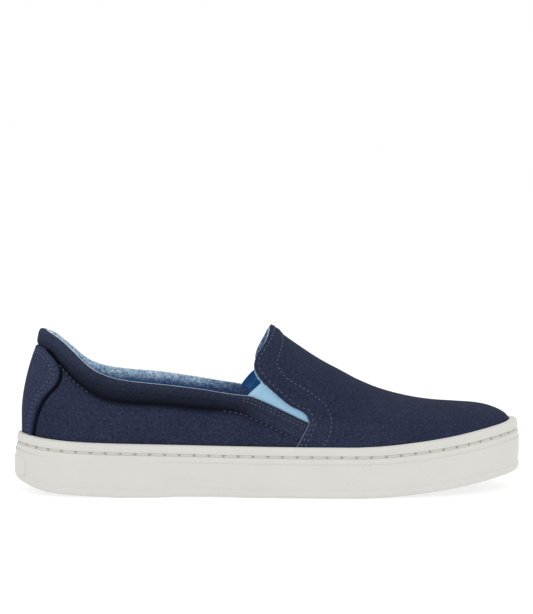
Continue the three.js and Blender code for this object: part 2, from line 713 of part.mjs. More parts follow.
// A plain raised pad on the back of the heel
function heelPad() {
  const shape = new THREE.Shape();
  const halfWidth = HEEL_PAD_WIDTH / 2;
  const halfHeight = HEEL_PAD_HEIGHT / 2;
  const middle = ridgeLine(0) * BALL_WIDTH;
  shape.moveTo(-halfWidth + halfHeight, -halfHeight);
  shape.lineTo(halfWidth - halfHeight, -halfHeight);
  shape.absarc(halfWidth - halfHeight, 0, halfHeight, -Math.PI / 2, Math.PI / 2, false);
  shape.lineTo(-halfWidth + halfHeight, halfHeight);
  shape.absarc(-halfWidth + halfHeight, 0, halfHeight, Math.PI / 2, (3 * Math.PI) / 2, false);
  const block = new THREE.ExtrudeGeometry(shape, { depth: LENGTH / 4, bevelEnabled: false, curveSegments: 6 });
  block.rotateY(Math.PI / 2);
  block.rotateX(Math.PI / 2);
  block.translate(-LENGTH / 2 - 2 * HEEL_PAD_RISE, middle, HEEL_PAD_MIDDLE);
  return solidOf(welded(block)).intersect(soleBlank(HEEL_PAD_RISE));
}

function makeOutsole() {
  const counter = lastForm(2 * FIT + COUNTER_THICKNESS).intersect(counterRegion(FIT));
  const cup = upperSkin(FIT).add(counter).subtract(bedBelow(0));
  return soleBlank(0).add(heelPad()).subtract(cup).subtract(treadSlots());
}

const rubber = new THREE.MeshStandardMaterial({ color: 0xdfdeda, roughness: 0.6, metalness: 0 });
const canvas = new THREE.MeshStandardMaterial({ color: 0x2a3048, roughness: 0.95, metalness: 0 });
const counterCanvas = new THREE.MeshStandardMaterial({ color: 0x2d3c5a, roughness: 0.9, metalness: 0 });
const rollCanvas = new THREE.MeshStandardMaterial({ color: 0x2b3149, roughness: 0.95, metalness: 0 });
const elastic = new THREE.MeshStandardMaterial({ color: 0xa0c8e1, roughness: 0.85, metalness: 0 });
const footbed = new THREE.MeshStandardMaterial({ color: 0x5f93c4, roughness: 1, metalness: 0 });

const shoe = new THREE.Group();
const pieces = [
  { name: "outsole", solid: makeOutsole(), material: rubber },
  { name: "insole", solid: makeInsole(), material: footbed },
  { name: "upper", solid: makeUpper(), material: canvas },
  { name: "collar", solid: makeCollar(), material: rollCanvas },
  { name: "heel_counter", solid: makeCounter(), material: counterCanvas },
  { name: "gore_outer", solid: makeGore(-1), material: elastic },
  { name: "gore_inner", solid: makeGore(1), material: elastic },
];
for (const { name, solid, material } of pieces) {
  const mesh = new THREE.Mesh(geometryOf(solid), material);
  mesh.name = name;
  shoe.add(mesh);
}

export default shoe;
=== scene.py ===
import math

import bmesh
import bpy
import numpy as np
from mathutils import Matrix, Vector


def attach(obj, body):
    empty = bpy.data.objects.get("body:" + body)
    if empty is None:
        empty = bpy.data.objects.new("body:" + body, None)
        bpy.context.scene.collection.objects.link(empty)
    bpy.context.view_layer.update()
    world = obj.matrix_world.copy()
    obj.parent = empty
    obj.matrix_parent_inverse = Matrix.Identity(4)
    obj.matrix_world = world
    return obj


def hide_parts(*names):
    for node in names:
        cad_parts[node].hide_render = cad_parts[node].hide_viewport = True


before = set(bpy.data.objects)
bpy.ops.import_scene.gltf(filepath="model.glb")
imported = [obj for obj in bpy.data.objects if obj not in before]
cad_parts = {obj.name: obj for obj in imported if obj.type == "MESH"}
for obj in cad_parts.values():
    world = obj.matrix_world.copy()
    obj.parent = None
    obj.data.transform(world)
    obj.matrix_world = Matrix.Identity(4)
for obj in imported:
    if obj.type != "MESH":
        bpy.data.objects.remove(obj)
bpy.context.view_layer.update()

# Outsole: one moulded cup of off-white rubber. A rounded lip stands round the canvas, a stitched channel
# runs under it, the wall below bulges a little, and the tread has cross slots at the heel and the ball.
# Sizes in this file are millimetres, and each mesh is scaled to metres when it is made.
LENGTH = 269.6
BALL_WIDTH = 96.0
SIDE_HEIGHT = 26.6
TOE_SPRING = 10.0
HEEL_BEVEL = 7.0
ARCH_RISE = 0.5
HEEL_BED, BALL_BED = 14.5, 8.5
TREAD_RADIUS = 1.8
FOXING_HEIGHT, FOXING_STEP = 3.9, 0.3
WALL_BULGE, WALL_RADIUS = 0.4, 1.1
LIP_HEIGHT, LIP_INSET, LIP_RADIUS = 4.6, 0.9, 1.5
CHANNEL_HEIGHT, CHANNEL_DEPTH = 1.2, 1.9
SLOT_WIDTH, SLOT_DEPTH, SLOT_PITCH, TREAD_EDGE = 2.4, 1.6, 9.0, 9.0
SLOT_ZONES = ((0.06, 0.19), (0.6, 0.93))
ZIGZAG_PERIOD, ZIGZAG_PITCH = 8.0, 2.2
SLOT_BEVEL, CUP_GAP = 0.12, 1.0
JOINT_BACK, JOINT_FOOT, JOINT_TOP, JOINT_SLANT, JOINT_WIDTH = 36.7, 4.3, 18.5, 0.606, 0.4


def turn_of(at):
    return np.arccos(1 - 2 * np.clip(at, 0, 1))


def share_of(turn):
    return (1 - np.cos(turn)) / 2


def smooth(places, values, by_turn=False):
    """A table's column as a smooth function of the place along the shoe, level at its turning points."""
    place = turn_of if by_turn else np.asarray
    knots = place(np.array(places, float))
    values = np.array(values, float)
    steps = np.diff(values) / np.diff(knots)
    slopes = np.r_[steps[0], np.zeros(len(knots) - 2), steps[-1]]
    before, after = steps[:-1], steps[1:]
    same = before * after > 0
    slopes[1:-1][same] = 2 * before[same] * after[same] / (before[same] + after[same])

    def value(at):
        where = np.clip(place(at), knots[0], knots[-1])
        i = np.clip(np.searchsorted(knots, where, side="right") - 1, 0, len(knots) - 2)
        span = knots[i + 1] - knots[i]
        u = (where - knots[i]) / span
        start = (1 + 2 * u) * (1 - u) ** 2 * values[i] + u * (1 - u) ** 2 * span * slopes[i]
        return start + u * u * (3 - 2 * u) * values[i + 1] + u * u * (u - 1) * span * slopes[i + 1]

    return value


PLAN_AT = [0, 0.02, 0.05, 0.1, 0.15, 0.2, 0.3, 0.4, 0.5, 0.6, 0.7, 0.78, 0.84, 0.9, 0.95, 0.98, 1]
OUTER = [-0.012, 0.156, 0.243, 0.316, 0.347, 0.359, 0.37, 0.395, 0.436, 0.478, 0.5, 0.486, 0.446, 0.363,
         0.26, 0.155, -0.058]
INNER = [0.012, 0.18, 0.267, 0.34, 0.366, 0.371, 0.351, 0.332, 0.342, 0.398, 0.474, 0.5, 0.482, 0.43,
         0.337, 0.23, 0.058]
RIDGE = [0.012, 0.012, 0.012, 0.012, 0.011, 0.01, 0.01, 0.014, 0.022, 0.034, 0.046, 0.054, 0.057, 0.058,
         0.058, 0.058, 0.058]
outer_line = smooth(PLAN_AT, OUTER, by_turn=True)
inner_line = smooth(PLAN_AT, INNER, by_turn=True)
ridge_line = smooth(PLAN_AT, RIDGE)
bevel = smooth([0, 0.035, 0.06, 0.09, 0.13, 0.2], [1, 0.52, 0.31, 0.2, 0.12, 0])
arch = smooth([0.275, 0.32, 0.38, 0.44], [0, 1, 1, 0])
spring = smooth([0.67, 0.714, 0.793, 0.873, 0.952, 1], [0, 0.05, 0.24, 0.5, 0.82, 1])
side_share = smooth([0, 0.05, 0.11, 0.2, 0.3, 0.42, 0.55, 0.68, 1],
                    [1.19, 1.13, 1.09, 1.06, 1.035, 1.01, 1, 1, 1.01])
bed_drop = smooth([0, 0.11, 0.2, 0.3, 0.42, 0.55, 0.68, 1], [0, 0, 0.04, 0.25, 0.6, 0.9, 1, 1])


def sole_share(x):
    return x / LENGTH + 0.5


def rise(x):
    return TOE_SPRING * spring(sole_share(x))


def tread_z(x):
    return HEEL_BEVEL * bevel(sole_share(x)) + ARCH_RISE * arch(sole_share(x)) + rise(x)


def lip_z(x):
    return SIDE_HEIGHT * side_share(sole_share(x)) + rise(x)


def bed_z(x):
    return HEEL_BED - (HEEL_BED - BALL_BED) * bed_drop(sole_share(x)) + rise(x)


def plan_point(turn, side):
    at = share_of(turn)
    line = np.where(side < 0, outer_line(at), inner_line(at))
    return np.stack([LENGTH * (at - 0.5) + 0 * side, side * line * BALL_WIDTH], -1)


def plan_normal(turn, side):
    small = 1e-3
    start, end = turn < small, turn > math.pi - small
    before = plan_point(np.where(start, small, turn - small), np.where(start, -side, side))
    after = plan_point(np.where(end, math.pi - small, turn + small), np.where(end, -side, side))
    along = after - before
    along /= np.linalg.norm(along, axis=-1, keepdims=True)
    return np.stack([-side * along[..., 1], side * along[..., 0]], -1)


def mesh_piece(name, points, faces, finishes, uvs=None, finish_of_face=None, crease=50, shade=None):
    """A mesh object from millimetre points, with welded seams, smooth faces and creases kept sharp."""
    mesh = bpy.data.meshes.new(name)
    mesh.from_pydata((np.asarray(points) * 0.001).tolist(), [], np.asarray(faces).tolist())
    if uvs is not None:
        layer = mesh.uv_layers.new(name="cloth")
        corners = np.empty(len(mesh.loops), int)
        mesh.loops.foreach_get("vertex_index", corners)
        layer.data.foreach_set("uv", np.asarray(uvs, float)[corners].ravel())
    if shade is not None:
        layer = mesh.attributes.new("shade", "FLOAT", "POINT")
        layer.data.foreach_set("value", np.asarray(shade, float).ravel())
    for finish in finishes:
        mesh.materials.append(finish)
    if finish_of_face is not None:
        mesh.polygons.foreach_set("material_index", np.asarray(finish_of_face, int))
    work = bmesh.new()
    work.from_mesh(mesh)
    bmesh.ops.remove_doubles(work, verts=work.verts, dist=2e-6)
    bmesh.ops.recalc_face_normals(work, faces=work.faces)
    work.to_mesh(mesh)
    work.free()
    mesh.validate()
    mesh.polygons.foreach_set("use_smooth", np.ones(len(mesh.polygons), bool))
    mesh.set_sharp_from_angle(angle=math.radians(crease))
    piece = bpy.data.objects.new(name, mesh)
    bpy.context.scene.collection.objects.link(piece)
    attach(piece, "root")
    return piece


def ring_faces(rows, columns):
    """Faces of a lattice whose columns close into a ring."""
    row, column = np.meshgrid(np.arange(rows - 1), np.arange(columns), indexing="ij")
    after = (column + 1) % columns
    here, next_row = row * columns, (row + 1) * columns
    return np.stack([here + column, here + after, next_row + after, next_row + column], -1).reshape(-1, 4)


class Value:
    """A socket in shader maths: an expression on it adds its Math nodes."""

    def __init__(self, finish, socket):
        self.finish, self.socket = finish, socket

    def math(self, operation, *inputs):
        return self.finish.node("ShaderNodeMath", {"operation": operation}, dict(enumerate(inputs)))

    def __add__(self, other):
        return self.math("ADD", self, other)

    def __sub__(self, other):
        return self.math("SUBTRACT", self, other)

    def __rsub__(self, other):
        return self.math("SUBTRACT", other, self)

    def __mul__(self, other):
        return self.math("MULTIPLY", self, other)

    def __abs__(self):
        return self.math("ABSOLUTE", self)

    def sine(self):
        return self.math("SINE", self)

    def fraction(self):
        return self.math("FRACT", self)

    __radd__, __rmul__ = __add__, __mul__


class Finish:
    """A material in the making, with its surface shader."""

    def __init__(self, name, roughness, **constants):
        self.material = bpy.data.materials.new(name)
        self.material.use_nodes = True
        self.tree = self.material.node_tree
        self.surface = self.tree.nodes["Principled BSDF"]
        self.surface.inputs["Roughness"].default_value = roughness
        for socket, value in constants.items():
            self.surface.inputs[socket.replace("_", " ")].default_value = value

    def node(self, kind, settings=None, inputs=None, output=0):
        made = self.tree.nodes.new(kind)
        for setting, value in (settings or {}).items():
            if setting == "stops":
                ramp = made.color_ramp.elements
                while len(ramp) < len(value):
                    ramp.new(0.5)
                for stop, (place, colour) in zip(ramp, value):
                    stop.position, stop.color = place, (*colour, 1)
            else:
                setattr(made, setting, value)
        for socket, value in (inputs or {}).items():
            if isinstance(value, Value):
                self.tree.links.new(value.socket, made.inputs[socket])
            else:
                made.inputs[socket].default_value = value
        return Value(self, made.outputs[output])

    def place(self, kind):
        return self.node("ShaderNodeTexCoord", output={"object": 3, "uv": 2}[kind])

    def axes(self, where):
        return [self.node("ShaderNodeSeparateXYZ", None, {0: where}, output=k) for k in range(3)]

    def noise(self, scale, where, detail=2.0, roughness=0.5):
        inputs = {"Vector": where, "Scale": scale, "Detail": detail, "Roughness": roughness}
        return self.node("ShaderNodeTexNoise", None, inputs)

    def below(self, value, limit):
        return self.node("ShaderNodeMath", {"operation": "LESS_THAN"}, {0: value, 1: limit})

    def mix(self, share, low, high):
        low = (*low, 1) if isinstance(low, tuple) else low
        high = (*high, 1) if isinstance(high, tuple) else high
        return self.node("ShaderNodeMix", {"data_type": "RGBA"}, {0: share, 6: low, 7: high}, output=2)

    def wear(self, colour=None, height=None, depth=0.1, roughness=None):
        """Puts colour, a relief of so many millimetres and roughness on the surface."""
        if colour is not None:
            self.tree.links.new(colour.socket, self.surface.inputs["Base Color"])
        if roughness is not None:
            self.tree.links.new(roughness.socket, self.surface.inputs["Roughness"])
        if height is not None:
            relief = {"Height": height, "Strength": 1.0, "Distance": depth * 0.001}
            bump = self.node("ShaderNodeBump", None, relief)
            self.tree.links.new(bump.socket, self.surface.inputs["Normal"])
        return self.material


def srgb(red, green, blue):
    """A linear colour from the usual 0 to 255 values."""
    def linear(value):
        share = value / 255
        return share / 12.92 if share <= 0.04045 else ((share + 0.055) / 1.055) ** 2.4
    return linear(red), linear(green), linear(blue)


# Painted highlight: the lighter tone of the thin ledge along the wall's joint.
JOINT_HIGHLIGHT = srgb(212, 211, 207)


def rubber_finish(name, base, light):
    """Smooth off-white rubber, with the faint slanting joint of the wall on the outer side in relief and a
    painted highlight.
    """
    finish = Finish(name, 0.55, Specular_IOR_Level=0.4)
    where = finish.place("object")
    cloud = finish.noise(60, where, detail=3)
    grain = finish.noise(2600, where, detail=1)
    along, across, up = finish.axes(where)
    off = abs((along - JOINT_BACK * 0.001) - (up - JOINT_FOOT * 0.001) * JOINT_SLANT)
    joint = finish.below(off, JOINT_WIDTH * 0.001) * finish.below(across, 0)
    joint = joint * finish.below(up, JOINT_TOP * 0.001) * finish.below(JOINT_FOOT * 0.001, up)
    colour = finish.mix(joint, finish.mix(cloud, base, light), JOINT_HIGHLIGHT)
    return finish.wear(colour, grain + joint * 4, 0.03, cloud * 0.12 + 0.48)


def tread_finish():
    """The same rubber with a fine zigzag moulded into the tread."""
    finish = Finish("tread_rubber", 0.6, Specular_IOR_Level=0.35)
    where = finish.place("object")
    along, across, _ = finish.axes(where)
    zigzag = abs((across * (1000 / ZIGZAG_PERIOD)).fraction() - 0.5) * ZIGZAG_PERIOD
    lines = ((along * 1000 + zigzag) * (2 * math.pi / ZIGZAG_PITCH)).sine()
    colour = finish.mix(finish.noise(60, where, detail=3), srgb(200, 199, 192), srgb(210, 209, 203))
    return finish.wear(colour, lines, 0.35)


RUBBER = rubber_finish("moulded_rubber", srgb(201, 200, 194), srgb(209, 208, 203))
# Painted shade: a darker copy of the rubber for the stitches in the shade under the lip.
SHADED_RUBBER = rubber_finish("shaded_stitch_rubber", srgb(188, 187, 179), srgb(197, 196, 188))
TREAD_RUBBER = tread_finish()


def wall_rows():
    """Rows of the side from the tread up: which level they hang from (0 tread, 1 lip), up and out."""
    rows = []
    quarter = np.linspace(0, math.pi / 2, 6)
    rows += [(0, TREAD_RADIUS * (1 - math.cos(a)), -TREAD_RADIUS * (1 - math.sin(a))) for a in quarter]
    rows += [(0, 2.6, 0.02), (0, FOXING_HEIGHT - 0.1, 0), (0, FOXING_HEIGHT + 0.15, -0.12)]
    rows += [(0, FOXING_HEIGHT + 0.35, -FOXING_STEP)]
    for share in (0.3, 0.42, 0.54, 0.66):
        rows.append((share, 0, WALL_BULGE * math.sin(math.pi * share) - FOXING_STEP))
    top = -LIP_HEIGHT - CHANNEL_HEIGHT
    rows += [(1, top - 3.4, -FOXING_STEP + 0.1), (1, top - WALL_RADIUS - 0.9, -FOXING_STEP)]
    for a in quarter:
        inward = WALL_RADIUS * (1 - math.cos(a))
        rows.append((1, top - WALL_RADIUS * (1 - math.sin(a)), -FOXING_STEP - inward))
    rows += [(1, top - 0.02, -CHANNEL_DEPTH), (1, -LIP_HEIGHT + 0.1, -CHANNEL_DEPTH - 0.1)]
    rows += [(1, -LIP_HEIGHT, -LIP_INSET - 0.3), (1, -LIP_HEIGHT + 0.12, -LIP_INSET - 0.06)]
    rows += [(1, -LIP_HEIGHT + 0.4, -LIP_INSET), (1, -LIP_HEIGHT / 2 - 0.6, -LIP_INSET + 0.12)]
    for a in quarter:
        rows.append((1, -LIP_RADIUS * (1 - math.sin(a)), -LIP_INSET - LIP_RADIUS * (1 - math.cos(a))))
    return rows


def tread_slots():
    """Centres of the slots along the shoe."""
    centres = []
    for start, end in SLOT_ZONES:
        count = int(LENGTH * (end - start) / SLOT_PITCH)
        centres += [LENGTH * (start - 0.5) + i * SLOT_PITCH for i in range(count + 1)]
    return np.array(centres)


def outsole():
    rows = wall_rows()
    centres = tread_slots()
    walls = np.concatenate([centres + side * (SLOT_WIDTH / 2 + step)
                            for side in (-1, 1) for step in (-SLOT_BEVEL, SLOT_BEVEL)])
    turns = np.unique(np.r_[np.linspace(0, math.pi, 231), turn_of(sole_share(walls))])
    x = LENGTH * (share_of(turns) - 0.5)
    sides = {}
    for side in (-1.0, 1.0):
        plan, normal = plan_point(turns, side), plan_normal(turns, side)
        columns = []
        for level, up, out in rows:
            spot = plan + normal * out
            z = tread_z(x) + (lip_z(x) - tread_z(x)) * level + up
            columns.append(np.column_stack([spot, z]))
        cup = last_point(turns, side, 0.0, lip_z(x))
        cup[:, :2] += normal * CUP_GAP
        columns.append(cup)
        floor = cup.copy()
        floor[:, 2] = bed_z(floor[:, 0])
        columns.append(floor)
        sides[side] = columns
    outer_edge, inner_edge = sides[-1.0][0], sides[1.0][0]
    half = (inner_edge[:, 1] - outer_edge[:, 1]) / 2
    slot_end = TREAD_EDGE - TREAD_RADIUS
    insets = (2.0, 4.5, slot_end - SLOT_BEVEL, slot_end + SLOT_BEVEL)
    in_slot = (np.abs(x[:, None] - centres[None]) < SLOT_WIDTH / 2).any(1) & (half > TREAD_EDGE + 3)
    under = []
    for share in (0, 1):
        for inset in insets if share == 0 else reversed(insets):
            step = np.minimum(inset, half * 0.2 * inset / insets[-1] * 4)
            edge = outer_edge if share == 0 else inner_edge
            row = edge.copy()
            row[:, 1] += step if share == 0 else -step
            row[:, 2] = tread_z(row[:, 0]) + np.where(in_slot & (inset == insets[-1]), SLOT_DEPTH, 0)
            under.append(row)
        if share == 0:
            for across in (0.36, 0.5, 0.64):
                row = outer_edge + (inner_edge - outer_edge) * across
                row[:, 2] = tread_z(row[:, 0]) + np.where(in_slot, SLOT_DEPTH, 0)
                under.append(row)
    bed_outer, bed_inner = sides[-1.0][-1], sides[1.0][-1]
    bed = [bed_inner + (bed_outer - bed_inner) * across for across in (0.25, 0.5, 0.75)]
    ring = under + sides[1.0] + bed + sides[-1.0][::-1]
    points = np.stack(ring, 1)
    below = np.tile(np.arange(points.shape[1]) < len(under) - 1, len(turns) - 1)
    faces = ring_faces(*points.shape[:2])
    finishes = [RUBBER, TREAD_RUBBER]
    return mesh_piece("outsole_cup", points.reshape(-1, 3), faces, finishes, None, below, crease=38)


# Foot form: the last that the upper is pulled over, so all soft pieces lie on it. Its sections stand in
# from the plan of the sole, lean forwards at the heel and close over the foot from the instep on.
HEEL_HEIGHT, INSTEP_HEIGHT = 86.8, 86.9
HEEL_EDGE, TOE_EDGE, SIDE_EDGE = 4.4, 6.1, 3.9
HEEL_LEAN, LEAN_START, LEAN_REACH, LEAN_CURVE = 11.7, 0.2, 0.45, 1.7
FORM_BACK = HEEL_EDGE - LENGTH / 2
FORM_LENGTH = LENGTH - HEEL_EDGE - TOE_EDGE
BELOW_LIP = 35.0
MIDDLE_HEIGHT = 22.0
LAST_AT = [0, 0.1, 0.25, 0.4, 0.455, 0.507, 0.558, 0.608, 0.649, 0.69, 0.731, 0.772, 0.814, 0.855, 0.896,
           0.937, 0.979, 1]
top_share = smooth(LAST_AT, [1.5, 1.55, 1.52, 1.3, 1.14, 0.987, 0.83, 0.688, 0.592, 0.496, 0.414, 0.346,
                             0.288, 0.243, 0.207, 0.167, 0.094, 0], by_turn=True)
swell = smooth(LAST_AT, [1.3, 1.3, 1.25, 1.25, 1.35, 1.4, 1.45, 1.5, 1.56, 1.62, 1.7, 1.79, 1.88, 1.95, 2,
                         2, 2, 2])
crown = smooth(LAST_AT, [2, 2, 2, 2, 2.1, 2.2, 2.2, 2.2, 2.2, 2.2, 2.2, 2.2, 2.2, 2.25, 2.3, 2.3, 2.25,
                         2.2])


def step_up(value, low, high):
    share = np.clip((value - low) / (high - low), 0, 1)
    return share * share * (3 - 2 * share)


def form_x(at):
    return FORM_BACK + FORM_LENGTH * at


def form_share(x):
    return (x - FORM_BACK) / FORM_LENGTH


def lean(z, at):
    up = (z - lip_z(FORM_BACK)) / (HEEL_HEIGHT - lip_z(FORM_BACK))
    share = np.maximum(0, up - LEAN_START) / (1 - LEAN_START)
    return HEEL_LEAN * share ** LEAN_CURVE * np.maximum(0, 1 - at / LEAN_REACH) ** 2


def last_point(turn, side, climb, z):
    """A point of the last: climb is 0 at the lip and a quarter turn on the centre line."""
    turn, side, climb, z = np.broadcast_arrays(turn, side, climb, z)
    at = share_of(turn)
    line = np.where(side < 0, outer_line(at), inner_line(at))
    ridge = ridge_line(at) * BALL_WIDTH
    half = line * BALL_WIDTH - side * ridge - SIDE_EDGE * np.sin(turn)
    across = np.maximum(0, half) * np.cos(climb) ** (2 / crown(at))
    return np.stack([form_x(at) + lean(z, at), ridge + side * across, z], -1)


def last_height(turn):
    return top_share(share_of(turn)) * (INSTEP_HEIGHT - SIDE_HEIGHT)


def last_at_height(turn, side, z):
    at = share_of(turn)
    lip = lip_z(form_x(at))
    share = np.clip((z - lip) / np.maximum(last_height(turn), 1), 0, 1)
    return last_point(turn, side, np.arcsin(share ** (swell(at) / 2)), z)


def on_last(turns, z):
    """Points of the last at heights and at signed turns, which are negative on the outer side."""
    return last_at_height(np.abs(turns), np.where(turns < 0, -1.0, 1.0), z)


def over_last(turn, across):
    """The same form by its place across: -1 at the outer lip, 0 on the centre line, 1 at the inner lip."""
    turn, across = np.broadcast_arrays(turn, across)
    at = share_of(turn)
    climb = np.clip(1 - np.abs(across), 0, 1) * math.pi / 2
    z = lip_z(form_x(at)) + last_height(turn) * np.sin(climb) ** (2 / swell(at))
    z = z - np.maximum(np.abs(across) - 1, 0) * BELOW_LIP
    return last_point(turn, np.where(across < 0, -1.0, 1.0), climb, z)


def side_height(at, up):
    front = step_up(at, 0.2, 0.45)
    return SIDE_HEIGHT + up * (HEEL_HEIGHT + (INSTEP_HEIGHT - HEEL_HEIGHT) * front - SIDE_HEIGHT)


def upright_turn(at, z):
    """The turn of the form's section that leans to a straight share of the length at a height."""
    station = np.asarray(at, float)
    for _ in range(15):
        station = np.clip(at - lean(z, station) / FORM_LENGTH, 0, 1)
    return turn_of(station)


def by_side_view(at, up, side):
    """The point of the last seen at a place of the side view."""
    z = side_height(at, np.asarray(up, float))
    return last_at_height(upright_turn(at, z), side, z)


cup = outsole()
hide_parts("outsole")


# Sidewall stitching: long stitches moulded into the channel under the lip, all round the sole, with a
# small dip between one stitch and the next.
# The stitches take the darker copy of the rubber: painted shade under the lip.
SOLE_STITCH_PITCH, SOLE_STITCH_GAP, SOLE_THREAD_RADIUS = 7.7, 0.5, 0.95


def arc(points, axis):
    """Distance along a lattice, in millimetres."""
    step = np.linalg.norm(np.diff(points, axis=axis), axis=-1)
    start = np.zeros_like(np.take(step, [0], axis=axis))
    return np.concatenate([start, np.cumsum(step, axis=axis)], axis=axis)


def at_places(places, length, line):
    """Values that go with a line of points, at places along it."""
    return np.stack([np.interp(places, length, column) for column in line.T], -1)


def evenly(line, pitch):
    """Places along a line of points at an even pitch, as points and directions of the line there."""
    length = arc(line, 0)
    places = (np.arange(int(length[-1] / pitch)) + 0.5) * pitch
    along = at_places(places + 0.3, length, line) - at_places(places - 0.3, length, line)
    spots = at_places(places, length, line)
    return places, length, spots, along / np.linalg.norm(along, axis=1, keepdims=True)


def stitches(name, spots, along, outward, length, radius, finish, blunt=0.5, sides=8, steps=6):
    """Rounded threads that lie on a surface, one at each spot."""
    sideways = np.cross(outward, along)
    sideways /= np.linalg.norm(sideways, axis=1, keepdims=True)
    up = np.cross(along, sideways)
    points, faces = [], []
    profile = np.sin(np.linspace(0, math.pi, steps + 1)) ** blunt
    bow = np.sin(np.linspace(0, math.pi, steps + 1))
    places = -np.cos(np.linspace(0, math.pi, steps + 1)) * length / 2
    angles = np.arange(sides) * 2 * math.pi / sides
    for k in range(len(spots)):
        base = k * (steps + 1) * sides
        for i in range(steps + 1):
            size = radius * max(profile[i], 0.02)
            centre = spots[k] + along[k] * places[i] + up[k] * radius * 0.5 * (bow[i] - 0.4)
            ring = np.cos(angles)[:, None] * sideways[k] + np.sin(angles)[:, None] * up[k]
            points.append(centre + size * ring)
        faces.append(ring_faces(steps + 1, sides) + base)
    return mesh_piece(name, np.concatenate(points), np.concatenate(faces), [finish], crease=80)


def sole_stitches():
    turns = np.linspace(0, math.pi, 400)
    loop = []
    for side, order in ((-1.0, turns), (1.0, turns[::-1])):
        plan = plan_point(order, side) + plan_normal(order, side) * (-CHANNEL_DEPTH + 0.05)
        loop.append(np.column_stack([plan, lip_z(plan[:, 0]) - LIP_HEIGHT - CHANNEL_HEIGHT / 2 - 0.12]))
    line = np.concatenate(loop)
    _, _, spots, along = evenly(line, SOLE_STITCH_PITCH)
    outward = np.cross(along, [0, 0, -1.0])
    outward *= np.sign(np.sum(outward * (spots - [0, 2.0, 20.0]), -1, keepdims=True))
    return stitches("outsole_stitches", spots, along, outward, SOLE_STITCH_PITCH - SOLE_STITCH_GAP,
                    SOLE_THREAD_RADIUS, SHADED_RUBBER, blunt=0.25, sides=10, steps=12)


sole_thread = sole_stitches()


# Heel pad: a plain raised pad moulded on the back of the sole, with rounded corners and edges.
PAD_WIDTH, PAD_HEIGHT, PAD_RISE, PAD_MIDDLE = 34.0, 11.0, 1.0, 14.6
PAD_CORNER, PAD_EDGE, PAD_SUNK, PAD_BACK = 2.6, 1.2, 0.9, 2.0


def slab(outer, inner):
    """Points and faces of a closed sheet between two lattices of the same size."""
    rows, columns = outer.shape[:2]
    points = np.concatenate([outer, inner[:, ::-1]], 1)
    faces = [ring_faces(rows, 2 * columns)]
    for row in (0, rows - 1):
        near = row * 2 * columns + np.arange(columns - 1)
        far = row * 2 * columns + 2 * columns - 1 - np.arange(columns - 1)
        faces.append(np.stack([near, near + 1, far - 1, far], -1))
    return points.reshape(-1, 3), np.concatenate(faces)


def heel_pad():
    turns = np.linspace(-0.6, 0.6, 401)
    side = np.where(turns < 0, -1.0, 1.0)
    plan, normal = plan_point(np.abs(turns), side), plan_normal(np.abs(turns), side)
    length = arc(plan, 0)
    across = np.linspace(-1, 1, 81) * PAD_WIDTH / 2
    places = across + length[len(turns) // 2]
    plan, normal = at_places(places, length, plan), at_places(places, length, normal)
    up = np.linspace(-1, 1, 41)[:, None] * PAD_HEIGHT / 2
    beside = np.maximum(np.abs(across) - PAD_WIDTH / 2 + PAD_CORNER, 0)
    above = np.maximum(np.abs(up) - PAD_HEIGHT / 2 + PAD_CORNER, 0)
    edge = PAD_CORNER - np.hypot(beside, above)
    straight = np.minimum(PAD_WIDTH / 2 - np.abs(across), PAD_HEIGHT / 2 - np.abs(up))
    edge = np.where(beside * above > 0, edge, straight)
    share = np.clip(edge / PAD_EDGE, 0, 1)
    face = (PAD_RISE + 0.6) * np.sqrt(1 - (1 - share) ** 2) - PAD_SUNK
    levels = []
    for out in (face, face * 0 - PAD_BACK):
        spot = plan[None] + normal[None] * out[..., None]
        levels.append(np.concatenate([spot, (PAD_MIDDLE + up + 0 * out)[..., None]], -1))
    return mesh_piece("heel_pad", *slab(*levels), [RUBBER], crease=60)


pad = heel_pad()


# Footbed: a foam insole covered with blue terry, a little dished, with its rim turned up at the wall.
INSOLE_HEEL, INSOLE_BALL, INSOLE_GAP, INSOLE_DISH = 5.5, 4.2, 0.6, 1.3
UPPER_WALL = 2.2
# Painted shade: the deep blue that the terry takes in shade down inside the shoe.
TERRY_SHADE = srgb(18, 64, 124)


def terry_finish(name, shade, mid, light):
    """Looped terry in two yarns: light tips with saturated blue between them, and painted shade in deep blue
    down inside the shoe.
    """
    finish = Finish(name, 0.95, Sheen_Weight=0.35, Sheen_Roughness=0.6, Specular_IOR_Level=0.15)
    where = finish.place("object")
    loops = finish.node("ShaderNodeTexVoronoi", {"feature": "F1"}, {"Vector": where, "Scale": 1150.0})
    slub = finish.noise(650, where, detail=3, roughness=0.7)
    broad = finish.noise(90, where, detail=2)
    stops = [(0.32, shade), (0.52, mid), (0.72, light)]
    share = slub * 0.9 + broad * 0.15 - loops * 0.12
    colour = finish.node("ShaderNodeValToRGB", {"stops": stops}, {0: share})
    height = (1 - loops) * 0.7 + slub * 0.6
    # Painted shade: the shade attribute mixes the terry towards deep blue.
    deep = finish.node("ShaderNodeAttribute", {"attribute_name": "shade"}, output=2)
    return finish.wear(finish.mix(deep, colour, TERRY_SHADE), height, 0.55)


TERRY = terry_finish("terry_lining", srgb(52, 100, 150), srgb(164, 192, 212), srgb(244, 247, 249))
FOOTBED = terry_finish("terry_footbed", srgb(30, 84, 152), srgb(82, 138, 192), srgb(170, 200, 222))


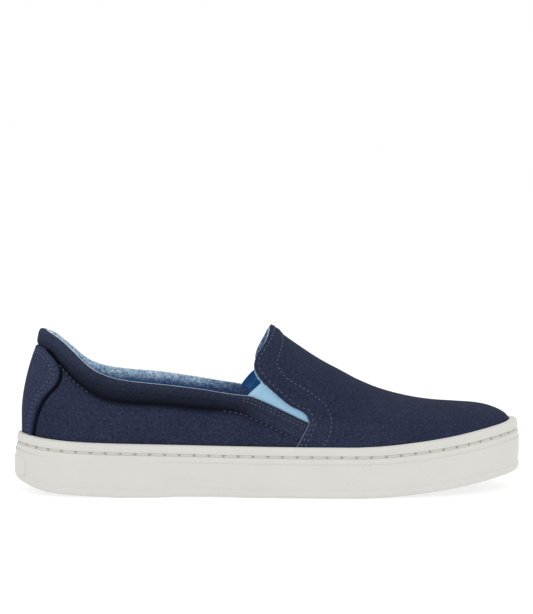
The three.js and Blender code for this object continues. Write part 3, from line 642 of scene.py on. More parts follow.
def insole():
    turns = np.linspace(0.05, math.pi - 0.05, 150)
    x = form_x(share_of(turns))
    thick = INSOLE_HEEL + (INSOLE_BALL - INSOLE_HEEL) * bed_drop(sole_share(x))
    edges = []
    for side in (-1.0, 1.0):
        edge = last_point(turns, side, 0.0, bed_z(x) + 0.3)
        edge[:, :2] -= plan_normal(turns, side) * (UPPER_WALL + INSOLE_GAP)
        edges.append(edge)
    across = np.r_[0, 0.015, 0.05, np.linspace(0.1, 0.9, 15), 0.95, 0.985, 1]
    dish = INSOLE_DISH * np.abs(2 * across - 1) ** 6 - np.where((across == 0) | (across == 1), 1.6, 0)
    low = edges[0][:, None] + (edges[1] - edges[0])[:, None] * across[None, :, None]
    top = low.copy()
    top[..., 2] += thick[:, None] + dish[None]
    return mesh_piece("footbed", *slab(top, low), [FOOTBED])


footbed = insole()
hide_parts("insole")


# Quarters: one band of navy canvas from the vamp round the heel to the vamp again, backed and lasted
# under the insole. Its top edge is turned in under the collar, and soft pulls run down from there.
COLLAR_WIDTH, COLLAR_PUFF, COLLAR_FLAT, COLLAR_PROUD, COLLAR_TUCK = 10.8, 7.0, 1.9, 2.3, 0.9
WEAVE_PITCH = 0.62
TOP_AT = [0, 0.025, 0.049, 0.077, 0.102, 0.126, 0.1475, 0.179, 0.211, 0.283, 0.355, 0.425, 0.4534, 0.4812,
          0.5248, 0.5718, 0.605]
top_line = smooth(TOP_AT, [0.985, 0.947, 0.899, 0.825, 0.748, 0.676, 0.631, 0.587, 0.562, 0.529, 0.49, 0.443,
                           0.43, 0.387, 0.299, 0.203, 0.135])
inner_lift = smooth(TOP_AT, [0, 0.1, -0.5, -0.4, -0.1, 0.5, 0.9, 1.6, 2.1, 2.4, 2.2, 2, 1.4, 1, 0, 0, 0])
puff = smooth(TOP_AT, [0.88, 0.92, 1, 1, 1, 1, 1, 1, 1, 1, 0.85, 0.5, 0.38, 0.22, 0, 0, 0])
width_share = smooth(TOP_AT, [0.85, 0.77, 0.75, 0.82, 0.85, 0.9, 0.99, 1.04, 1.02, 0.95, 0.93, 0.82, 0.9,
                              0.95, 0.94, 0.93, 0.93])
COLLAR_END = turn_of(TOP_AT[-1])


def collar_point(turn, extra):
    at = share_of(turn)
    return on_last(turn, side_height(at, top_line(at)) + np.where(turn > 0, inner_lift(at), 0) + extra)


def collar_frame(turn):
    """The top line's point, the way out and the way down in the wall, at signed turns round the heel."""
    point = collar_point(turn, 0)
    along = collar_point(turn + 0.01, 0) - collar_point(turn - 0.01, 0)
    along /= np.linalg.norm(along, axis=-1, keepdims=True)
    out = np.cross(along, collar_point(turn, -COLLAR_WIDTH / 2) - point)
    out /= np.linalg.norm(out, axis=-1, keepdims=True)
    return point, out, np.cross(out, along)


def collar_width(turn):
    return COLLAR_WIDTH * width_share(share_of(turn))


def below_collar(turns, drop):
    """Signed turns and heights on the last of a line so far below the collar's lower seam."""
    point, _, down = collar_frame(turns)
    spot = point + down * (collar_width(turns) + drop)[:, None]
    return np.sign(turns) * upright_turn(form_share(spot[:, 0]), spot[:, 2]), spot[:, 2]


SEAM = below_collar(np.linspace(-COLLAR_END, COLLAR_END, 800), 0)


def seam_height(turns):
    return np.interp(turns, np.maximum.accumulate(SEAM[0]), SEAM[1])


def canvas_finish(name, shade, base, light):
    """Plain-woven canvas: crossing threads in relief and slubs, with painted shade where the mesh's shade
    attribute asks for it.
    """
    finish = Finish(name, 0.95, Specular_IOR_Level=0.08)
    weave = finish.place("uv")
    along, across, _ = finish.axes(weave)
    warp = abs((along * (math.pi / WEAVE_PITCH)).sine())
    weft = abs((across * (math.pi / WEAVE_PITCH)).sine())
    over = finish.node("ShaderNodeTexChecker", None, {"Vector": weave, "Scale": 1 / WEAVE_PITCH}, output=1)
    height = warp * over + weft * (1 - over)
    where = finish.place("object")
    slub = finish.noise(900, where, detail=2, roughness=0.7)
    broad = finish.noise(28, where, detail=2)
    share = height * 0.4 + slub * 0.62 + broad * 0.16 - 0.13
    stops = [(0.12, shade), (0.5, base), (0.92, light)]
    colour = finish.node("ShaderNodeValToRGB", {"stops": stops}, {0: share})
    # Painted shade: the colour darkens towards a near-black navy as far as the shade attribute says.
    shade_share = finish.node("ShaderNodeAttribute", {"attribute_name": "shade"}, output=2)
    return finish.wear(finish.mix(shade_share, colour, PAINTED_SHADE), height * 0.8 + slub * 0.6, 0.14)


# Painted shade: the near-black navy of the canvas in the shadow under the roll and in seam grooves.
PAINTED_SHADE = srgb(9, 11, 20)
CANVAS = canvas_finish("navy_canvas", srgb(15, 18, 31), srgb(35, 40, 61), srgb(72, 80, 107))
CANVAS_THICKNESS, GROOVE_DEPTH, EDGE_RISE, DEEPEST = 1.0, 1.0, 0.3, -1.2
UNDER_COLLAR, LASTED_UNDER = 3.0, 4.0
COUNTER_EDGE = np.array([
    (0.036, 0.90), (0.04, 0.87), (0.0528, 0.797), (0.0653, 0.733), (0.0725, 0.674), (0.0742, 0.628),
    (0.0705, 0.566), (0.0614, 0.503), (0.0506, 0.456), (0.0397, 0.391), (0.0307, 0.313), (0.0249, 0.233),
    (0.0213, 0.152), (0.0194, 0.06), (0.0186, -0.1)])
FOLDS = (
    # height of the trough, place along, rise along, half length, half width, depth
    (0.40, 0.150, -1.5, 0.045, 3.4, 0.55),
    (0.36, 0.215, -0.9, 0.060, 3.0, 0.40),
    (0.30, 0.130, -1.9, 0.040, 3.2, 0.35),
    (0.27, 0.330, -0.5, 0.070, 4.0, 0.30),
    (0.20, 0.240, -0.7, 0.080, 5.0, 0.30),
)


def facing(points):
    """Outward normals of a lattice of points on the last."""
    normal = np.cross(np.gradient(points, axis=1), np.gradient(points, axis=0))
    normal /= np.maximum(np.linalg.norm(normal, axis=-1, keepdims=True), 1e-9)
    at = np.clip(form_share(points[..., 0]), 0, 1)
    ridge = ridge_line(at) * BALL_WIDTH
    middle = np.stack([points[..., 0] * 0.9, ridge, np.full(at.shape, MIDDLE_HEIGHT)], -1)
    return normal * np.sign(np.sum(normal * (points - middle)))


def spline(points, count):
    """A smooth curve through points, evenly sampled by their index."""
    points = np.asarray(points, float)
    ends = np.vstack([2 * points[0] - points[1], points, 2 * points[-1] - points[-2]])
    where = np.linspace(0, len(points) - 1, count)
    i = np.minimum(where.astype(int), len(points) - 2)
    t = (where - i)[:, None]
    a, b, c, d = (ends[i + k] for k in range(4))
    curve = (2 * a - 5 * b + 4 * c - d) * t ** 2 + (3 * b - a - 3 * c + d) * t ** 3
    return 0.5 * (2 * b + (c - a) * t + curve)


def doubled(values):
    """Values for both faces of a slab from those of its lattice."""
    return np.concatenate([values, values[:, ::-1]], 1)


def cloth(name, outer, inner, finishes, u=None, v=None, shade=None, finish_of_face=None):
    """A sheet between two lattices: u and v lay its weave, and shade says how much painted shade its colour
    takes.
    """
    uv = None if u is None else np.stack([doubled(u), doubled(v)], -1).reshape(-1, 2)
    shade = None if shade is None else doubled(shade)
    return mesh_piece(name, *slab(outer, inner), finishes, uv, finish_of_face, shade=shade)


def hump(value, middle, width):
    return np.exp(-((value - middle) / width) ** 2)


def creases(points):
    """Soft troughs and ridges in the canvas, pulled down from the collar's seam."""
    at = form_share(points[..., 0])
    up = (points[..., 2] - SIDE_HEIGHT) / (HEEL_HEIGHT - SIDE_HEIGHT)
    depth = np.zeros(points.shape[:2])
    for height, place, slope, half_length, half_width, deep in FOLDS:
        off = (up - height - slope * (at - place)) * (HEEL_HEIGHT - SIDE_HEIGHT) / half_width
        depth -= deep * hump(at, place, half_length) * (hump(off, 0, 1) - 0.6 * hump(off, 1.5, 1))
    return depth


def counter_turn(z, back=0.0):
    """The turn round the heel at which the seam in front of the heel counter stands, by height."""
    edge = spline(COUNTER_EDGE, 200)
    at = np.interp(z, side_height(edge[:, 0], edge[:, 1])[::-1], edge[::-1, 0]) - back / FORM_LENGTH
    return np.maximum(upright_turn(at, z), 0.02)


def quarters():
    """The lattice's columns bend so that one of them follows the seam in front of the heel counter."""
    end, usual = turn_of(0.6), turn_of(0.06)
    steps = np.unique(np.r_[np.linspace(0, end, 181), usual + np.linspace(-0.02, 0.05, 22), usual])
    share = np.r_[np.linspace(0, 0.86, 44), np.linspace(0.875, 1, 10)]
    column = np.r_[-steps[:0:-1], steps] + 0 * share[:, None]
    turns = column
    for _ in range(4):
        top = seam_height(turns) + UNDER_COLLAR
        low = lip_z(form_x(share_of(turns))) - LASTED_UNDER
        z = low + (top - low) * share[:, None]
        seam = counter_turn(z)
        ahead = seam + (np.abs(column) - usual) * (end - seam) / (end - usual)
        turns = np.where(np.abs(column) < usual, column * seam / usual, np.sign(column) * ahead)
    points = on_last(turns, z)
    normals = facing(points)
    below = seam_height(turns) - z
    u = arc(points, 1)
    middle = len(steps) - 1
    seam_column = int(np.searchsorted(steps, usual))
    ahead = np.where(column < 0, u[:, [middle - seam_column]] - u, u - u[:, [middle + seam_column]])
    full = puff(share_of(turns))
    height = creases(points) * step_up(z, low + 5, low + 16) + 0.25 * hump(below, 3.2, 1.8)
    height += EDGE_RISE * hump(ahead, 3.0, 1.1) - GROOVE_DEPTH * (1 - step_up(ahead, 1.4, 2.2))
    height -= 0.9 * (1 - step_up(below, 0.2, 3.2)) * (0.3 + 0.7 * full)
    height = np.maximum(height, DEEPEST)[..., None]
    outer, inner = points + normals * height, points + normals * (height - CANVAS_THICKNESS)
    # Painted shade: the canvas darkens just under the collar roll, most where the roll is full, and in the
    # groove in front of the heel counter.
    shade = 0.85 * hump(np.maximum(below, 0), 0, 2.2) * (0.25 + 0.75 * full)
    shade = np.maximum(shade, 0.97 * hump(ahead, 0.5, 1.05))
    return cloth("quarters", outer, inner, [CANVAS], u - u[:, [middle]], z, shade)


quarter_band = quarters()
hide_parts("upper")


# Heel counter: a patch of slightly bluer canvas sewn over the back of the quarters, with a turned edge
# and two rows of stitches, and a deep seam in front of it.
COUNTER_ROWS = (1.9, 3.8)
COUNTER_GAP, COUNTER_THICKNESS, COUNTER_TURNED, ROW_DEPTH = 0.7, 1.25, 0.35, 0.2
COUNTER_LOW, COUNTER_TOP = -0.07, 0.885
COUNTER_CANVAS = canvas_finish("counter_canvas", srgb(23, 27, 43), srgb(42, 48, 71), srgb(78, 87, 114))


def signed_power(value, power):
    return np.sign(value) * np.abs(value) ** power


def reach(points, line):
    """Distance of every point from a line of points."""
    flat = points.reshape(-1, 3)
    found = np.empty(len(flat))
    for start in range(0, len(flat), 4000):
        part = flat[start:start + 4000]
        found[start:start + 4000] = np.sqrt(((part[:, None] - line[None]) ** 2).sum(-1).min(1))
    return found.reshape(points.shape[:2])


def rounded(points, normals, height, inside, radius):
    """Outer and inner lattices of a sheet whose first column has a rounded edge."""
    edge, normal = points[:, 0], normals[:, 0]
    away = edge - points[:, 1]
    away -= np.sum(away * normal, -1, keepdims=True) * normal
    away /= np.maximum(np.linalg.norm(away, axis=-1, keepdims=True), 1e-9)
    outer = points + normals * height[..., None]
    inner = points + normals * inside
    tall = height[:, :1]
    rim = [edge + away * radius + normal * (tall - 2 * radius)]
    for a in np.radians([90, 68, 45, 22]):
        rim.append(edge + away * radius * math.sin(a) + normal * (tall - radius * (1 - math.cos(a))))
    under = [edge + away * radius + normal * inside] * len(rim)
    return np.concatenate([np.stack(rim, 1), outer], 1), np.concatenate([np.stack(under, 1), inner], 1)


def counter():
    z = np.linspace(side_height(0, COUNTER_LOW), side_height(0, COUNTER_TOP), 100)[:, None]
    turns = counter_turn(z, COUNTER_GAP) * signed_power(np.linspace(-1, 1, 121), 0.8)
    z = z + 0 * turns
    points = on_last(turns, z)
    normals = facing(points)
    near = np.minimum(reach(points, points[:, 0]), reach(points, points[:, -1]))
    below = seam_height(turns) - z
    field = np.minimum(near, below * 1.3 - 0.6)
    height = COUNTER_THICKNESS + COUNTER_TURNED * hump(near, 0, 1.3)
    for row in COUNTER_ROWS:
        height -= ROW_DEPTH * hump(field, row, 0.5)
    height -= 1.3 * (1 - step_up(below, -0.4, 0.7))
    left, under_left = rounded(points, normals, height, 0.1, 0.6)
    flip, under_flip = rounded(points[:, ::-1], normals[:, ::-1], height[:, ::-1], 0.1, 0.6)
    extra = flip.shape[1] - points.shape[1]
    outer = np.concatenate([left, flip[:, :extra][:, ::-1]], 1)
    inner = np.concatenate([under_left, under_flip[:, :extra][:, ::-1]], 1)
    u = arc(outer, 1)
    u -= u[:, [u.shape[1] // 2]]
    piece = cloth("heel_counter_patch", outer, inner, [COUNTER_CANVAS], u, outer[..., 2])
    return piece, points + normals * height[..., None], normals, field


heel_patch, counter_surface, counter_normals, counter_field = counter()
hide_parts("heel_counter")


# Collar: a foam roll covered outside with navy canvas and inside with terry, sewn to the top of the
# quarters. It is full round the heel and runs out into a flat strip that goes under the vamp.
COLLAR_SIDES = 48
INSIDE_FROM, INSIDE_TO = -1.83, -4.55
# Painted light: the roll's canvas is a lighter copy of the navy canvas for its lit top, and painted shade
# takes it down to near black on the underside.
ROLL_CANVAS_LIT = canvas_finish("collar_canvas", srgb(24, 28, 43), srgb(44, 50, 71), srgb(78, 86, 112))


def roll_section(turns, angles, extra=0.0):
    """Points of the roll at signed turns, at angles from the way out: -90 degrees is its top."""
    at = share_of(turns)
    point, out, down = collar_frame(turns)
    thick = COLLAR_FLAT + (COLLAR_PUFF - COLLAR_FLAT) * puff(at)
    proud = COLLAR_PROUD * puff(at) + 0.6 * (1 - puff(at))
    tuck = COLLAR_TUCK * (1 - step_up(at, 0.02, 0.12))
    width = collar_width(turns)
    power = (0.8 - 0.2 * (1 - step_up(at, 0.02, 0.1)))[:, None]
    outward, downward = signed_power(np.cos(angles), power), signed_power(np.sin(angles), power)
    pinch = 0.35 * np.sin(turns * 31.0) * hump(at, 0.075, 0.05) + 0.15 * np.sin(turns * 17.0 + 1)
    half = thick / 2 + pinch * puff(at) * 0.5
    a = (proud - thick / 2)[:, None] + (half + extra)[:, None] * outward - tuck[:, None] * downward
    b = (width / 2)[:, None] + (width / 2 + extra)[:, None] * downward
    return point[:, None] + out[:, None] * a[..., None] + down[:, None] * b[..., None]


def collar():
    turns = np.linspace(-COLLAR_END, COLLAR_END, 421)
    angles = -2 * math.pi * np.arange(COLLAR_SIDES) / COLLAR_SIDES
    ring = roll_section(turns, angles)
    ends = ring.mean(1, keepdims=True).repeat(COLLAR_SIDES, 1)
    points = np.concatenate([ends[:1], ring, ends[-1:]], 0)
    faces = ring_faces(points.shape[0], COLLAR_SIDES)
    middle = (faces[:, 0] % COLLAR_SIDES + 0.5) * -2 * math.pi / COLLAR_SIDES
    inside = (middle < INSIDE_FROM) & (middle > INSIDE_TO)
    u = np.repeat(arc(ring[:, :1], 0), COLLAR_SIDES, 1)
    v = np.tile(np.arange(COLLAR_SIDES) * 0.75, (len(turns), 1))
    uv = np.stack([u, v], -1)
    uv = np.concatenate([uv[:1], uv, uv[-1:]], 0).reshape(-1, 2)
    # Painted shade: outside, the canvas darkens from the roll's top down to its underside, with a light even
    # darkening on the flat strip. Inside, the terry darkens down its lower half and towards the front.
    down = 0.5 + 0.5 * signed_power(np.sin(angles), 0.8)
    fall = 1.8 - 1.1 * step_up(share_of(turns), 0.06, 0.15)[:, None]
    full = step_up(puff(share_of(turns)), 0.05, 0.6)[:, None]
    outside = 0.92 * down ** fall * full + 0.22 * (1 - full)
    forward = step_up(share_of(turns), 0.36, 0.45)[:, None]
    lined = np.maximum(0.9 * step_up(down, 0.1, 0.55), 0.72 * forward)
    shade = np.where(np.cos(angles) > 0, outside, lined)
    shade = np.concatenate([shade[:1], shade, shade[-1:]], 0)
    finishes = [ROLL_CANVAS_LIT, TERRY]
    return mesh_piece("collar_roll", points.reshape(-1, 3), faces, finishes, uv, inside, shade=shade)


roll = collar()
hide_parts("collar")


# Piping: the narrow light-blue fold of the lining that shows along the top of the collar, where the
# canvas ends.
PIPING = terry_finish("piping", srgb(164, 200, 222), srgb(204, 224, 236), srgb(236, 243, 247))


def tube(name, line, radius, finish, sides=8):
    """A thin round strip along a line of points."""
    along = np.gradient(line, axis=0)
    along /= np.linalg.norm(along, axis=1, keepdims=True)
    across = np.cross(along, [0, 0, 1.0])
    across /= np.linalg.norm(across, axis=1, keepdims=True)
    up = np.cross(across, along)
    angles = np.arange(sides) * 2 * math.pi / sides
    cosine, sine = np.cos(angles)[None, :, None], np.sin(angles)[None, :, None]
    ring = line[:, None] + radius * (cosine * across[:, None] + sine * up[:, None])
    points = np.concatenate([line[:1, None].repeat(sides, 1), ring, line[-1:, None].repeat(sides, 1)], 0)
    return mesh_piece(name, points.reshape(-1, 3), ring_faces(len(points), sides), [finish])


PIPING_RADIUS, PIPING_END = 0.36, turn_of(0.47)
fold = roll_section(np.linspace(-PIPING_END, PIPING_END, 500), np.array([INSIDE_FROM + 0.1]), -0.05)[:, 0]
piping = tube("collar_piping", fold, PIPING_RADIUS, PIPING)


# Lining: melange terry on the inside of the quarters, from the footbed up to the middle of the collar. The
# vamp has its own, which shows as a narrow edge at the throat.
LINING_FACE = 1.7


def quarter_lining():
    end = turn_of(0.6)
    turns = np.linspace(-end, end, 241)
    point, _, down = collar_frame(turns)
    top = (point + down * (collar_width(turns) * 0.7)[:, None])[:, 2]
    low = bed_z(form_x(share_of(turns))) + 2.0
    z = low + (top - low) * np.linspace(0, 1, 40)[:, None]
    points = on_last(turns, z)
    normals = facing(points)
    outer, inner = points - normals * LINING_FACE, points - normals * (UPPER_WALL + 0.2)
    forward = step_up(share_of(turns), 0.36, 0.46)
    # Painted shade: the lining takes deep blue inside the shoe, most near the collar and towards the front.
    shade = 0.3 + 0.5 * np.exp((z - top) / 8) * (1 - forward) + 0.6 * forward
    return cloth("quarter_lining", outer, inner, [TERRY], shade=shade)


lining_back = quarter_lining()
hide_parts("upper")


# Gores: two wedges of ribbed light-blue elastic, hemmed at the top with two rows, sewn behind the
# strip of the collar and under the vamp. They sit a little in from the face of the canvas.
GORE_SUNK, ELASTIC_THICKNESS, HEM_WIDTH, HEM_RISE = 0.7, 0.9, 3.4, 0.35
RIB_PITCH, KNIT_PITCH = 0.9, 0.7
GORE_REAR = {
    -1.0: [(0.447, 0.405), (0.4534, 0.443), (0.468, 0.499), (0.4829, 0.553), (0.503, 0.62)],
    1.0: [(0.4465, 0.405), (0.4527, 0.451), (0.4614, 0.504), (0.4696, 0.545), (0.4799, 0.589),
          (0.4945, 0.65)],
}


def elastic_finish(name, base, low):
    finish = Finish(name, 0.8, Sheen_Weight=0.2, Specular_IOR_Level=0.25)
    along, across, _ = finish.axes(finish.place("uv"))
    rib = abs((across * (math.pi / RIB_PITCH)).sine())
    knit = abs((along * (math.pi / KNIT_PITCH)).sine())
    fleck = finish.noise(700, finish.place("object"), detail=2)
    colour = finish.mix(rib * 0.45 + fleck * 0.5, low, base)
    return finish.wear(colour, rib * 0.8 + knit * 0.3 + fleck * 0.3, 0.16)


ELASTIC = elastic_finish("elastic_outside", srgb(160, 199, 223), srgb(132, 174, 206))
# Painted shade: the inside face is a darker, bluer copy of the elastic for the far gore's inside, which
# shows in shade through the opening.
ELASTIC_INSIDE = elastic_finish("elastic_inside", srgb(72, 146, 212), srgb(40, 104, 172))


def widened(values, columns):
    """Repeats the first column of a lattice up to so many columns, for a rounded edge."""
    return np.concatenate([np.repeat(values[:, :1], columns - values.shape[1], 1), values], 1)


def gore(name, side):
    rear = spline(GORE_REAR[side], 44)
    front = spline([(0.596, 0.085), (0.600, 0.14), (0.604, 0.24)], 44)
    share = np.r_[0, 0.008, 0.016, 0.03, 0.045, 0.06, np.linspace(0.08, 1, 50)]
    flat = rear[:, None] + (front - rear)[:, None] * share[None, :, None]
    points = by_side_view(flat[..., 0], flat[..., 1], side)
    normals = facing(points)
    point, _, _ = collar_frame(side * turn_of(flat[..., 0].ravel()))
    above = points[..., 2] - point[:, 2].reshape(points.shape[:2])
    sunk = -GORE_SUNK - 0.4 * (1 - step_up(above, -0.2, 1.4))
    near = arc(points, 1)
    hem = 1 - step_up(near, HEM_WIDTH, HEM_WIDTH + 0.5)
    height = sunk + HEM_RISE * hem - 0.12 * hump(near, 1.3, 0.4)
    outer, _ = rounded(points, normals, height, -2.4, 0.35)
    inner = outer - widened(normals, outer.shape[1]) * ELASTIC_THICKNESS
    rows, columns = outer.shape[:2]
    ends = np.zeros(2 * (columns - 1), bool)
    inside = np.r_[np.tile(np.arange(2 * columns) >= columns, rows - 1), ends]
    piece = cloth(name, outer, inner, [ELASTIC, ELASTIC_INSIDE], arc(outer, 1), arc(outer, 0), None, inside)
    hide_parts(name)
    return points + normals * height[..., None], normals, near


gore_surfaces = {-1.0: gore("gore_outer", -1.0), 1.0: gore("gore_inner", 1.0)}


# Vamp: the front of the upper, one piece of navy canvas lasted over the toe. Its rear edge is turned,
# sewn down with a row at the edge and a second one further in, and lined with terry.
VAMP_STEP, VAMP_TURNED, THROAT_HEM = 0.8, 0.3, 0.9
VAMP_FOOT = [(0.5609, 0.3), (0.5721, 0.25), (0.5717, 0.19), (0.5617, 0.106), (0.5475, -0.002),
             (0.5345, -0.12), (0.52, -0.25)]
VAMP_EDGE = {
    -1.0: [(0.51, 1.03), (0.497, 0.915), (0.48, 0.807), (0.4709, 0.748), (0.4673, 0.681), (0.4715, 0.62),
           (0.482, 0.555), (0.5087, 0.449), (0.5352, 0.353)] + VAMP_FOOT,
    1.0: [(0.51, 1.03), (0.5005, 0.915), (0.4885, 0.807), (0.4835, 0.748), (0.482, 0.681), (0.4845, 0.62),
          (0.491, 0.555), (0.5125, 0.449), (0.5365, 0.353)] + VAMP_FOOT,
}
CROSSING_ROW = [
    (0.5330, 1.00), (0.5295, 0.918), (0.5222, 0.827), (0.5139, 0.744), (0.5119, 0.694), (0.5213, 0.624),
    (0.5316, 0.572), (0.5520, 0.520), (0.5701, 0.477), (0.5842, 0.433), (0.6001, 0.382),
    (0.6096, 0.330), (0.6154, 0.271), (0.6177, 0.211), (0.6140, 0.126), (0.6073, 0.064), (0.6011, 0.003)]


def vamp_edge_turn(across, back=None):
    """The turn at which each line across the last meets the vamp's rear edge."""
    curves = {}
    for side, rows in VAMP_EDGE.items():
        line = spline(rows, 300)
        z = side_height(line[:, 0], line[:, 1])
        x = form_x(line[:, 0]) - (back(z) if back else 0)
        order = np.argsort(z)
        curves[side] = (z[order], x[order])
    low = np.full(across.shape, float(turn_of(0.42)))
    high = np.full(across.shape, float(turn_of(0.68)))
    for _ in range(40):
        middle = (low + high) / 2
        spot = over_last(middle, across)
        outer = np.interp(spot[:, 2], *curves[-1.0])
        inner = np.interp(spot[:, 2], *curves[1.0])
        ahead = spot[:, 0] > np.where(across < 0, outer, inner)
        high, low = np.where(ahead, middle, high), np.where(ahead, low, middle)
    return (low + high) / 2


def vamp_lattice(reach_down, rows, back=None):
    across = np.linspace(-1 - reach_down, 1 + reach_down, rows)
    edge = vamp_edge_turn(across, back)
    share = np.r_[np.linspace(0, 0.105, 21), np.linspace(0.12, 1, 90)]
    turns = edge[:, None] + (math.pi - edge)[:, None] * share[None]
    points = over_last(turns, across[:, None] + 0 * turns)
    normals = facing(points)
    normals[:, -1] = [1.0, 0.0, 0.0]
    return across, points, normals


def past_crossing(points):
    """How far points lie ahead of the row that crosses the foot."""
    row = spline(CROSSING_ROW, 200)[::-1]
    return points[..., 0] - np.interp(points[..., 2], side_height(row[:, 0], row[:, 1]), form_x(row[:, 0]))


def vamp():
    across, points, normals = vamp_lattice(0.11, 181)
    near = reach(points, points[:, 0])
    height = VAMP_STEP + VAMP_TURNED * hump(near, 0, 1.6)
    hem = step_up(near, -2.5, 3.0) * (1 - step_up(past_crossing(points), -2.5, 0.2))
    height += THROAT_HEM * hump(across, 0, 0.45)[:, None] * hem
    height -= ROW_DEPTH * hump(near, 2.4, 0.6)
    height *= 1 - 0.4 * step_up(points[..., 0], 118.0, 128.0)
    outer, inner = rounded(points, normals, height, -0.3, 0.5)
    u, v = (widened(values, outer.shape[1]) for values in (points[..., 0], arc(points, 0)))
    piece = cloth("vamp", outer, inner, [CANVAS], u, v)
    return piece, points + normals * height[..., None], normals, near, np.flatnonzero(np.abs(across) < 1)


front, vamp_surface, vamp_normals, vamp_near, vamp_rows = vamp()
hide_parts("upper")


LINING_SHOWS = smooth([30, 54, 57, 64, 67, 75], [0.3, 0.4, 1.15, 0.95, 0.3, 0.3])


def vamp_lining():
    _, points, normals = vamp_lattice(0.32, 121, back=LINING_SHOWS)
    outer, inner = rounded(points, normals, np.full(points.shape[:2], -0.35), -1.35, 0.4)
    # Painted shade: the lining darkens to deep blue behind a light strip at its edge.
    shade = 0.86 * step_up(reach(outer, outer[:, 0]), 0.9, 2.6)
    return cloth("vamp_lining", outer, inner, [TERRY], shade=shade)


lining_front = vamp_lining()
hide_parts("upper")


# Seams: lockstitch in slate-blue thread, a shade lighter than the canvas and sunk a little into it, with
# a darker copy of the thread as painted shade where it runs in shade along the collar, and pale thread in
# the elastic.
STITCH_LENGTH, STITCH_PITCH, THREAD_RADIUS = 1.45, 2.9, 0.23
CLOSE_PITCH, STRIP_PITCH, HEM_PITCH = 2.5, 2.2, 1.9


def thread_finish(name, base, light):
    finish = Finish(name, 0.7, Sheen_Weight=0.1)
    twist = finish.noise(1800, finish.place("object"), detail=1)
    return finish.wear(finish.mix(twist, base, light), twist, 0.08)


THREAD = thread_finish("thread", srgb(59, 66, 89), srgb(89, 97, 121))
# Painted shade: a darker copy of the thread for the rows in shade along the collar.
SHADED_THREAD = thread_finish("shaded_thread", srgb(50, 56, 78), srgb(74, 81, 104))
PALE_THREAD = thread_finish("pale_thread", srgb(160, 192, 212), srgb(190, 214, 228))


def seam(name, line, normals, finish=THREAD, pitch=STITCH_PITCH):
    """A row of stitches along a line on the surface."""
    places, length, spots, along = evenly(line, pitch)
    outward = at_places(places, length, normals)
    long = STITCH_LENGTH * pitch / STITCH_PITCH
    piece = stitches(name, spots, along, outward, long, THREAD_RADIUS, finish)


def level_line(points, normals, field, level, rows):
    """The line on a lattice where a field first reaches a level, row by row."""
    line, out = [], []
    for row in rows:
        column = int(np.argmax(field[row] >= level))
        before = max(column - 1, 0)
        gap = field[row, column] - field[row, before]
        share = 0 if gap <= 0 else (level - field[row, before]) / gap
        line.append(points[row, before] + (points[row, column] - points[row, before]) * share)
        out.append(normals[row, column])
    return np.array(line), np.array(out)


# Rows of the vamp: one along its edge all the way, a second beside it below the gores, and a third that
# runs from the sole over the top of the foot to the sole again.
EDGE_ROW, SECOND_ROW, GORE_FOOT = 1.6, 3.4, 41.0
CUT_EDGE_RADIUS = 0.38
from_edge = vamp_near - EDGE_ROW - 0.6 * step_up(vamp_surface[..., 2], 36.0, 44.0)
from_edge += 0.9 * step_up(vamp_surface[..., 2], 64.0, 72.0)
seam("vamp_edge_stitches", *level_line(vamp_surface, vamp_normals, from_edge, 0, vamp_rows))
crossing = level_line(vamp_surface, vamp_normals, past_crossing(vamp_surface), 0, vamp_rows)
seam("vamp_crossing_stitches", *crossing, pitch=CLOSE_PITCH)
low_rows = [row for row in vamp_rows if vamp_surface[row, 0, 2] < GORE_FOOT]
for word, side in (("outer", -1), ("inner", 1)):
    rows = [row for row in low_rows if vamp_surface[row, 0, 1] * side > 0]
    second = level_line(vamp_surface, vamp_normals, vamp_near, SECOND_ROW, rows)
    seam(f"vamp_second_stitches_{word}", *second)
    # The vamp's lower cut edge as a thin tube in the lighter thread colour: the raw edge is lighter, and the
    # tube also paints the highlight along it.
    line = vamp_surface[rows, 0] - vamp_normals[rows, 0] * 0.25
    cut_edge = tube(f"vamp_cut_edge_{word}", line, CUT_EDGE_RADIUS, THREAD)


# Rows of the heel counter: two close rows up its front edge, under the collar and down again.
widest = int(np.argmax(counter_turn(counter_surface[:, 60, 2])))
half_way = counter_field.shape[1] // 2 + 1
lattices = (counter_surface, counter_normals, counter_field)
for number, level in enumerate(COUNTER_ROWS):
    rows = np.arange(widest)
    columns = np.flatnonzero(counter_field[widest] > level)
    flipped = [values[:, ::-1] for values in lattices]
    turned = [np.swapaxes(values[::-1], 0, 1) for values in lattices]
    up_line = level_line(counter_surface, counter_normals, counter_field[:, :half_way], level, rows)
    over_line = level_line(*turned, level, columns)
    down_line = level_line(*flipped[:2], flipped[2][:, :half_way], level, rows[::-1])
    line = (np.concatenate(parts) for parts in zip(up_line, over_line, down_line))
    seam(f"counter_stitches_{number}", *line, pitch=CLOSE_PITCH)


# Rows of the collar: one close under the roll where it can be seen, at the heel and from the gore on, and
# two along the flat strip. The gores have two pale rows in their hem.
STRIP_ROWS, HEM_ROWS = (1.9, 3.7), (1.4, 3.2)


def under_roll(start, end, side, drop):
    turns, height = below_collar(side * np.linspace(turn_of(start), turn_of(end), 150), drop)
    height = height + np.array([[-0.4], [0], [0.4]])
    points = on_last(turns, height)
    normals = facing(points)[1]
    return points[1] + normals * 0.15, normals


def strip_row(drop, side):
    turns = side * np.linspace(turn_of(0.44), turn_of(0.572), 90)
    sine = 1 - 2 * drop / COLLAR_WIDTH
    line = roll_section(turns, np.array([-math.asin(sine ** 1.25)]))[:, 0]
    return line, collar_frame(turns)[1]


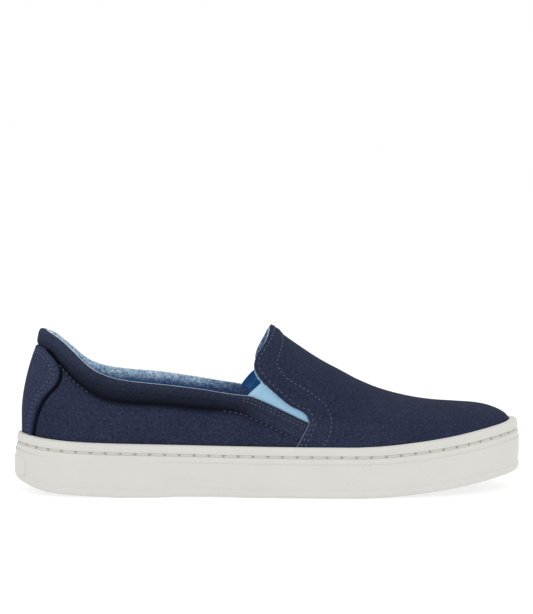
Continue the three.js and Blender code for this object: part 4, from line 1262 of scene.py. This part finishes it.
for side, word in ((-1.0, "outer"), (1.0, "inner")):
    # The collar's rows take the darker thread: painted shade along the collar.
    seam(f"heel_seam_stitches_{word}", *under_roll(0.076, 0.15, side, 1.2), SHADED_THREAD)
    seam(f"strip_seam_stitches_{word}", *under_roll(0.405, 0.583, side, 0.55), SHADED_THREAD)
    for number, drop in enumerate(STRIP_ROWS):
        seam(f"strip_stitches_{word}_{number}", *strip_row(drop, side), SHADED_THREAD, STRIP_PITCH)
    points, normals, near = gore_surfaces[side]
    for number, level in enumerate(HEM_ROWS):
        hem = level_line(points, normals, near, level, range(6, 40))
        seam(f"gore_stitches_{word}_{number}", *hem, PALE_THREAD, HEM_PITCH)


# Set: a white sweep, a broad soft light overhead and two at the sides, and the camera low in front of
# the outer side.
floor_mesh = bpy.data.meshes.new("floor")
floor_mesh.from_pydata([(-6, -6, 0), (6, -6, 0), (6, 6, 0), (-6, 6, 0)], [], [(0, 1, 2, 3)])
WHITE, GREY = (1, 1, 1, 1), (0.36, 0.36, 0.36, 1)
sweep = Finish("white_sweep", 0.9, Base_Color=GREY, Emission_Color=WHITE, Emission_Strength=0.7)
floor_mesh.materials.append(sweep.material)
floor = bpy.data.objects.new("floor", floor_mesh)
bpy.context.scene.collection.objects.link(floor)

world = bpy.data.worlds.new("studio")
bpy.context.scene.world = world
world.use_nodes = True
background = world.node_tree.nodes["Background"].inputs
background["Color"].default_value, background["Strength"].default_value = WHITE, 1.0


def soft_light(name, place, target, size, power):
    data = bpy.data.lights.new(name, "AREA")
    data.shape = "RECTANGLE"
    data.size, data.size_y = size
    data.energy = power
    lamp = bpy.data.objects.new(name, data)
    lamp.location = place
    lamp.rotation_mode = "QUATERNION"
    lamp.rotation_quaternion = (Vector(target) - Vector(place)).to_track_quat("-Z", "Y")
    bpy.context.scene.collection.objects.link(lamp)


soft_light("overhead", (0.1, -0.1, 1.1), (0, 0, 0.03), (1.2, 0.9), 0.8)
soft_light("front", (0.5, -1.3, 0.9), (0, 0, 0.04), (0.9, 0.7), 2.2)
soft_light("left", (-1.2, -0.5, 0.7), (0, 0, 0.04), (0.7, 0.7), 1.0)

EYE_DISTANCE, EYE_TURN, EYE_RAISE = 1500.0, math.radians(-4.3), math.radians(6.0)
FRAME, SENSOR_WIDTH = (533, 614), 36
AIM, AIM_PIXEL = (0.0, 0.0, 40.0), (269.3, 413.6)
FOCAL_PIXELS = EYE_DISTANCE / 0.534

level = math.cos(EYE_RAISE)
eye = Vector(AIM) + EYE_DISTANCE * Vector((
    math.sin(EYE_TURN) * level, -math.cos(EYE_TURN) * level, math.sin(EYE_RAISE)))
pitch = EYE_RAISE - math.atan((AIM_PIXEL[1] - FRAME[1] / 2) / FOCAL_PIXELS)
heading = EYE_TURN + math.atan((AIM_PIXEL[0] - FRAME[0] / 2) / FOCAL_PIXELS)
level = math.cos(pitch)
forward = Vector((-math.sin(heading) * level, math.cos(heading) * level, -math.sin(pitch)))
right = Vector((math.cos(heading), math.sin(heading), 0))
upward = right.cross(forward)
camera_data = bpy.data.cameras.new("camera")
camera_data.sensor_width = SENSOR_WIDTH
camera_data.lens = FOCAL_PIXELS * SENSOR_WIDTH / max(FRAME)
camera = bpy.data.objects.new("camera", camera_data)
rotation = Matrix((right, upward, -forward)).transposed().to_4x4()
camera.matrix_world = Matrix.Translation(eye * 0.001) @ rotation
bpy.context.scene.collection.objects.link(camera)
bpy.context.scene.camera = camera
bpy.context.scene.view_settings.view_transform = "Standard"
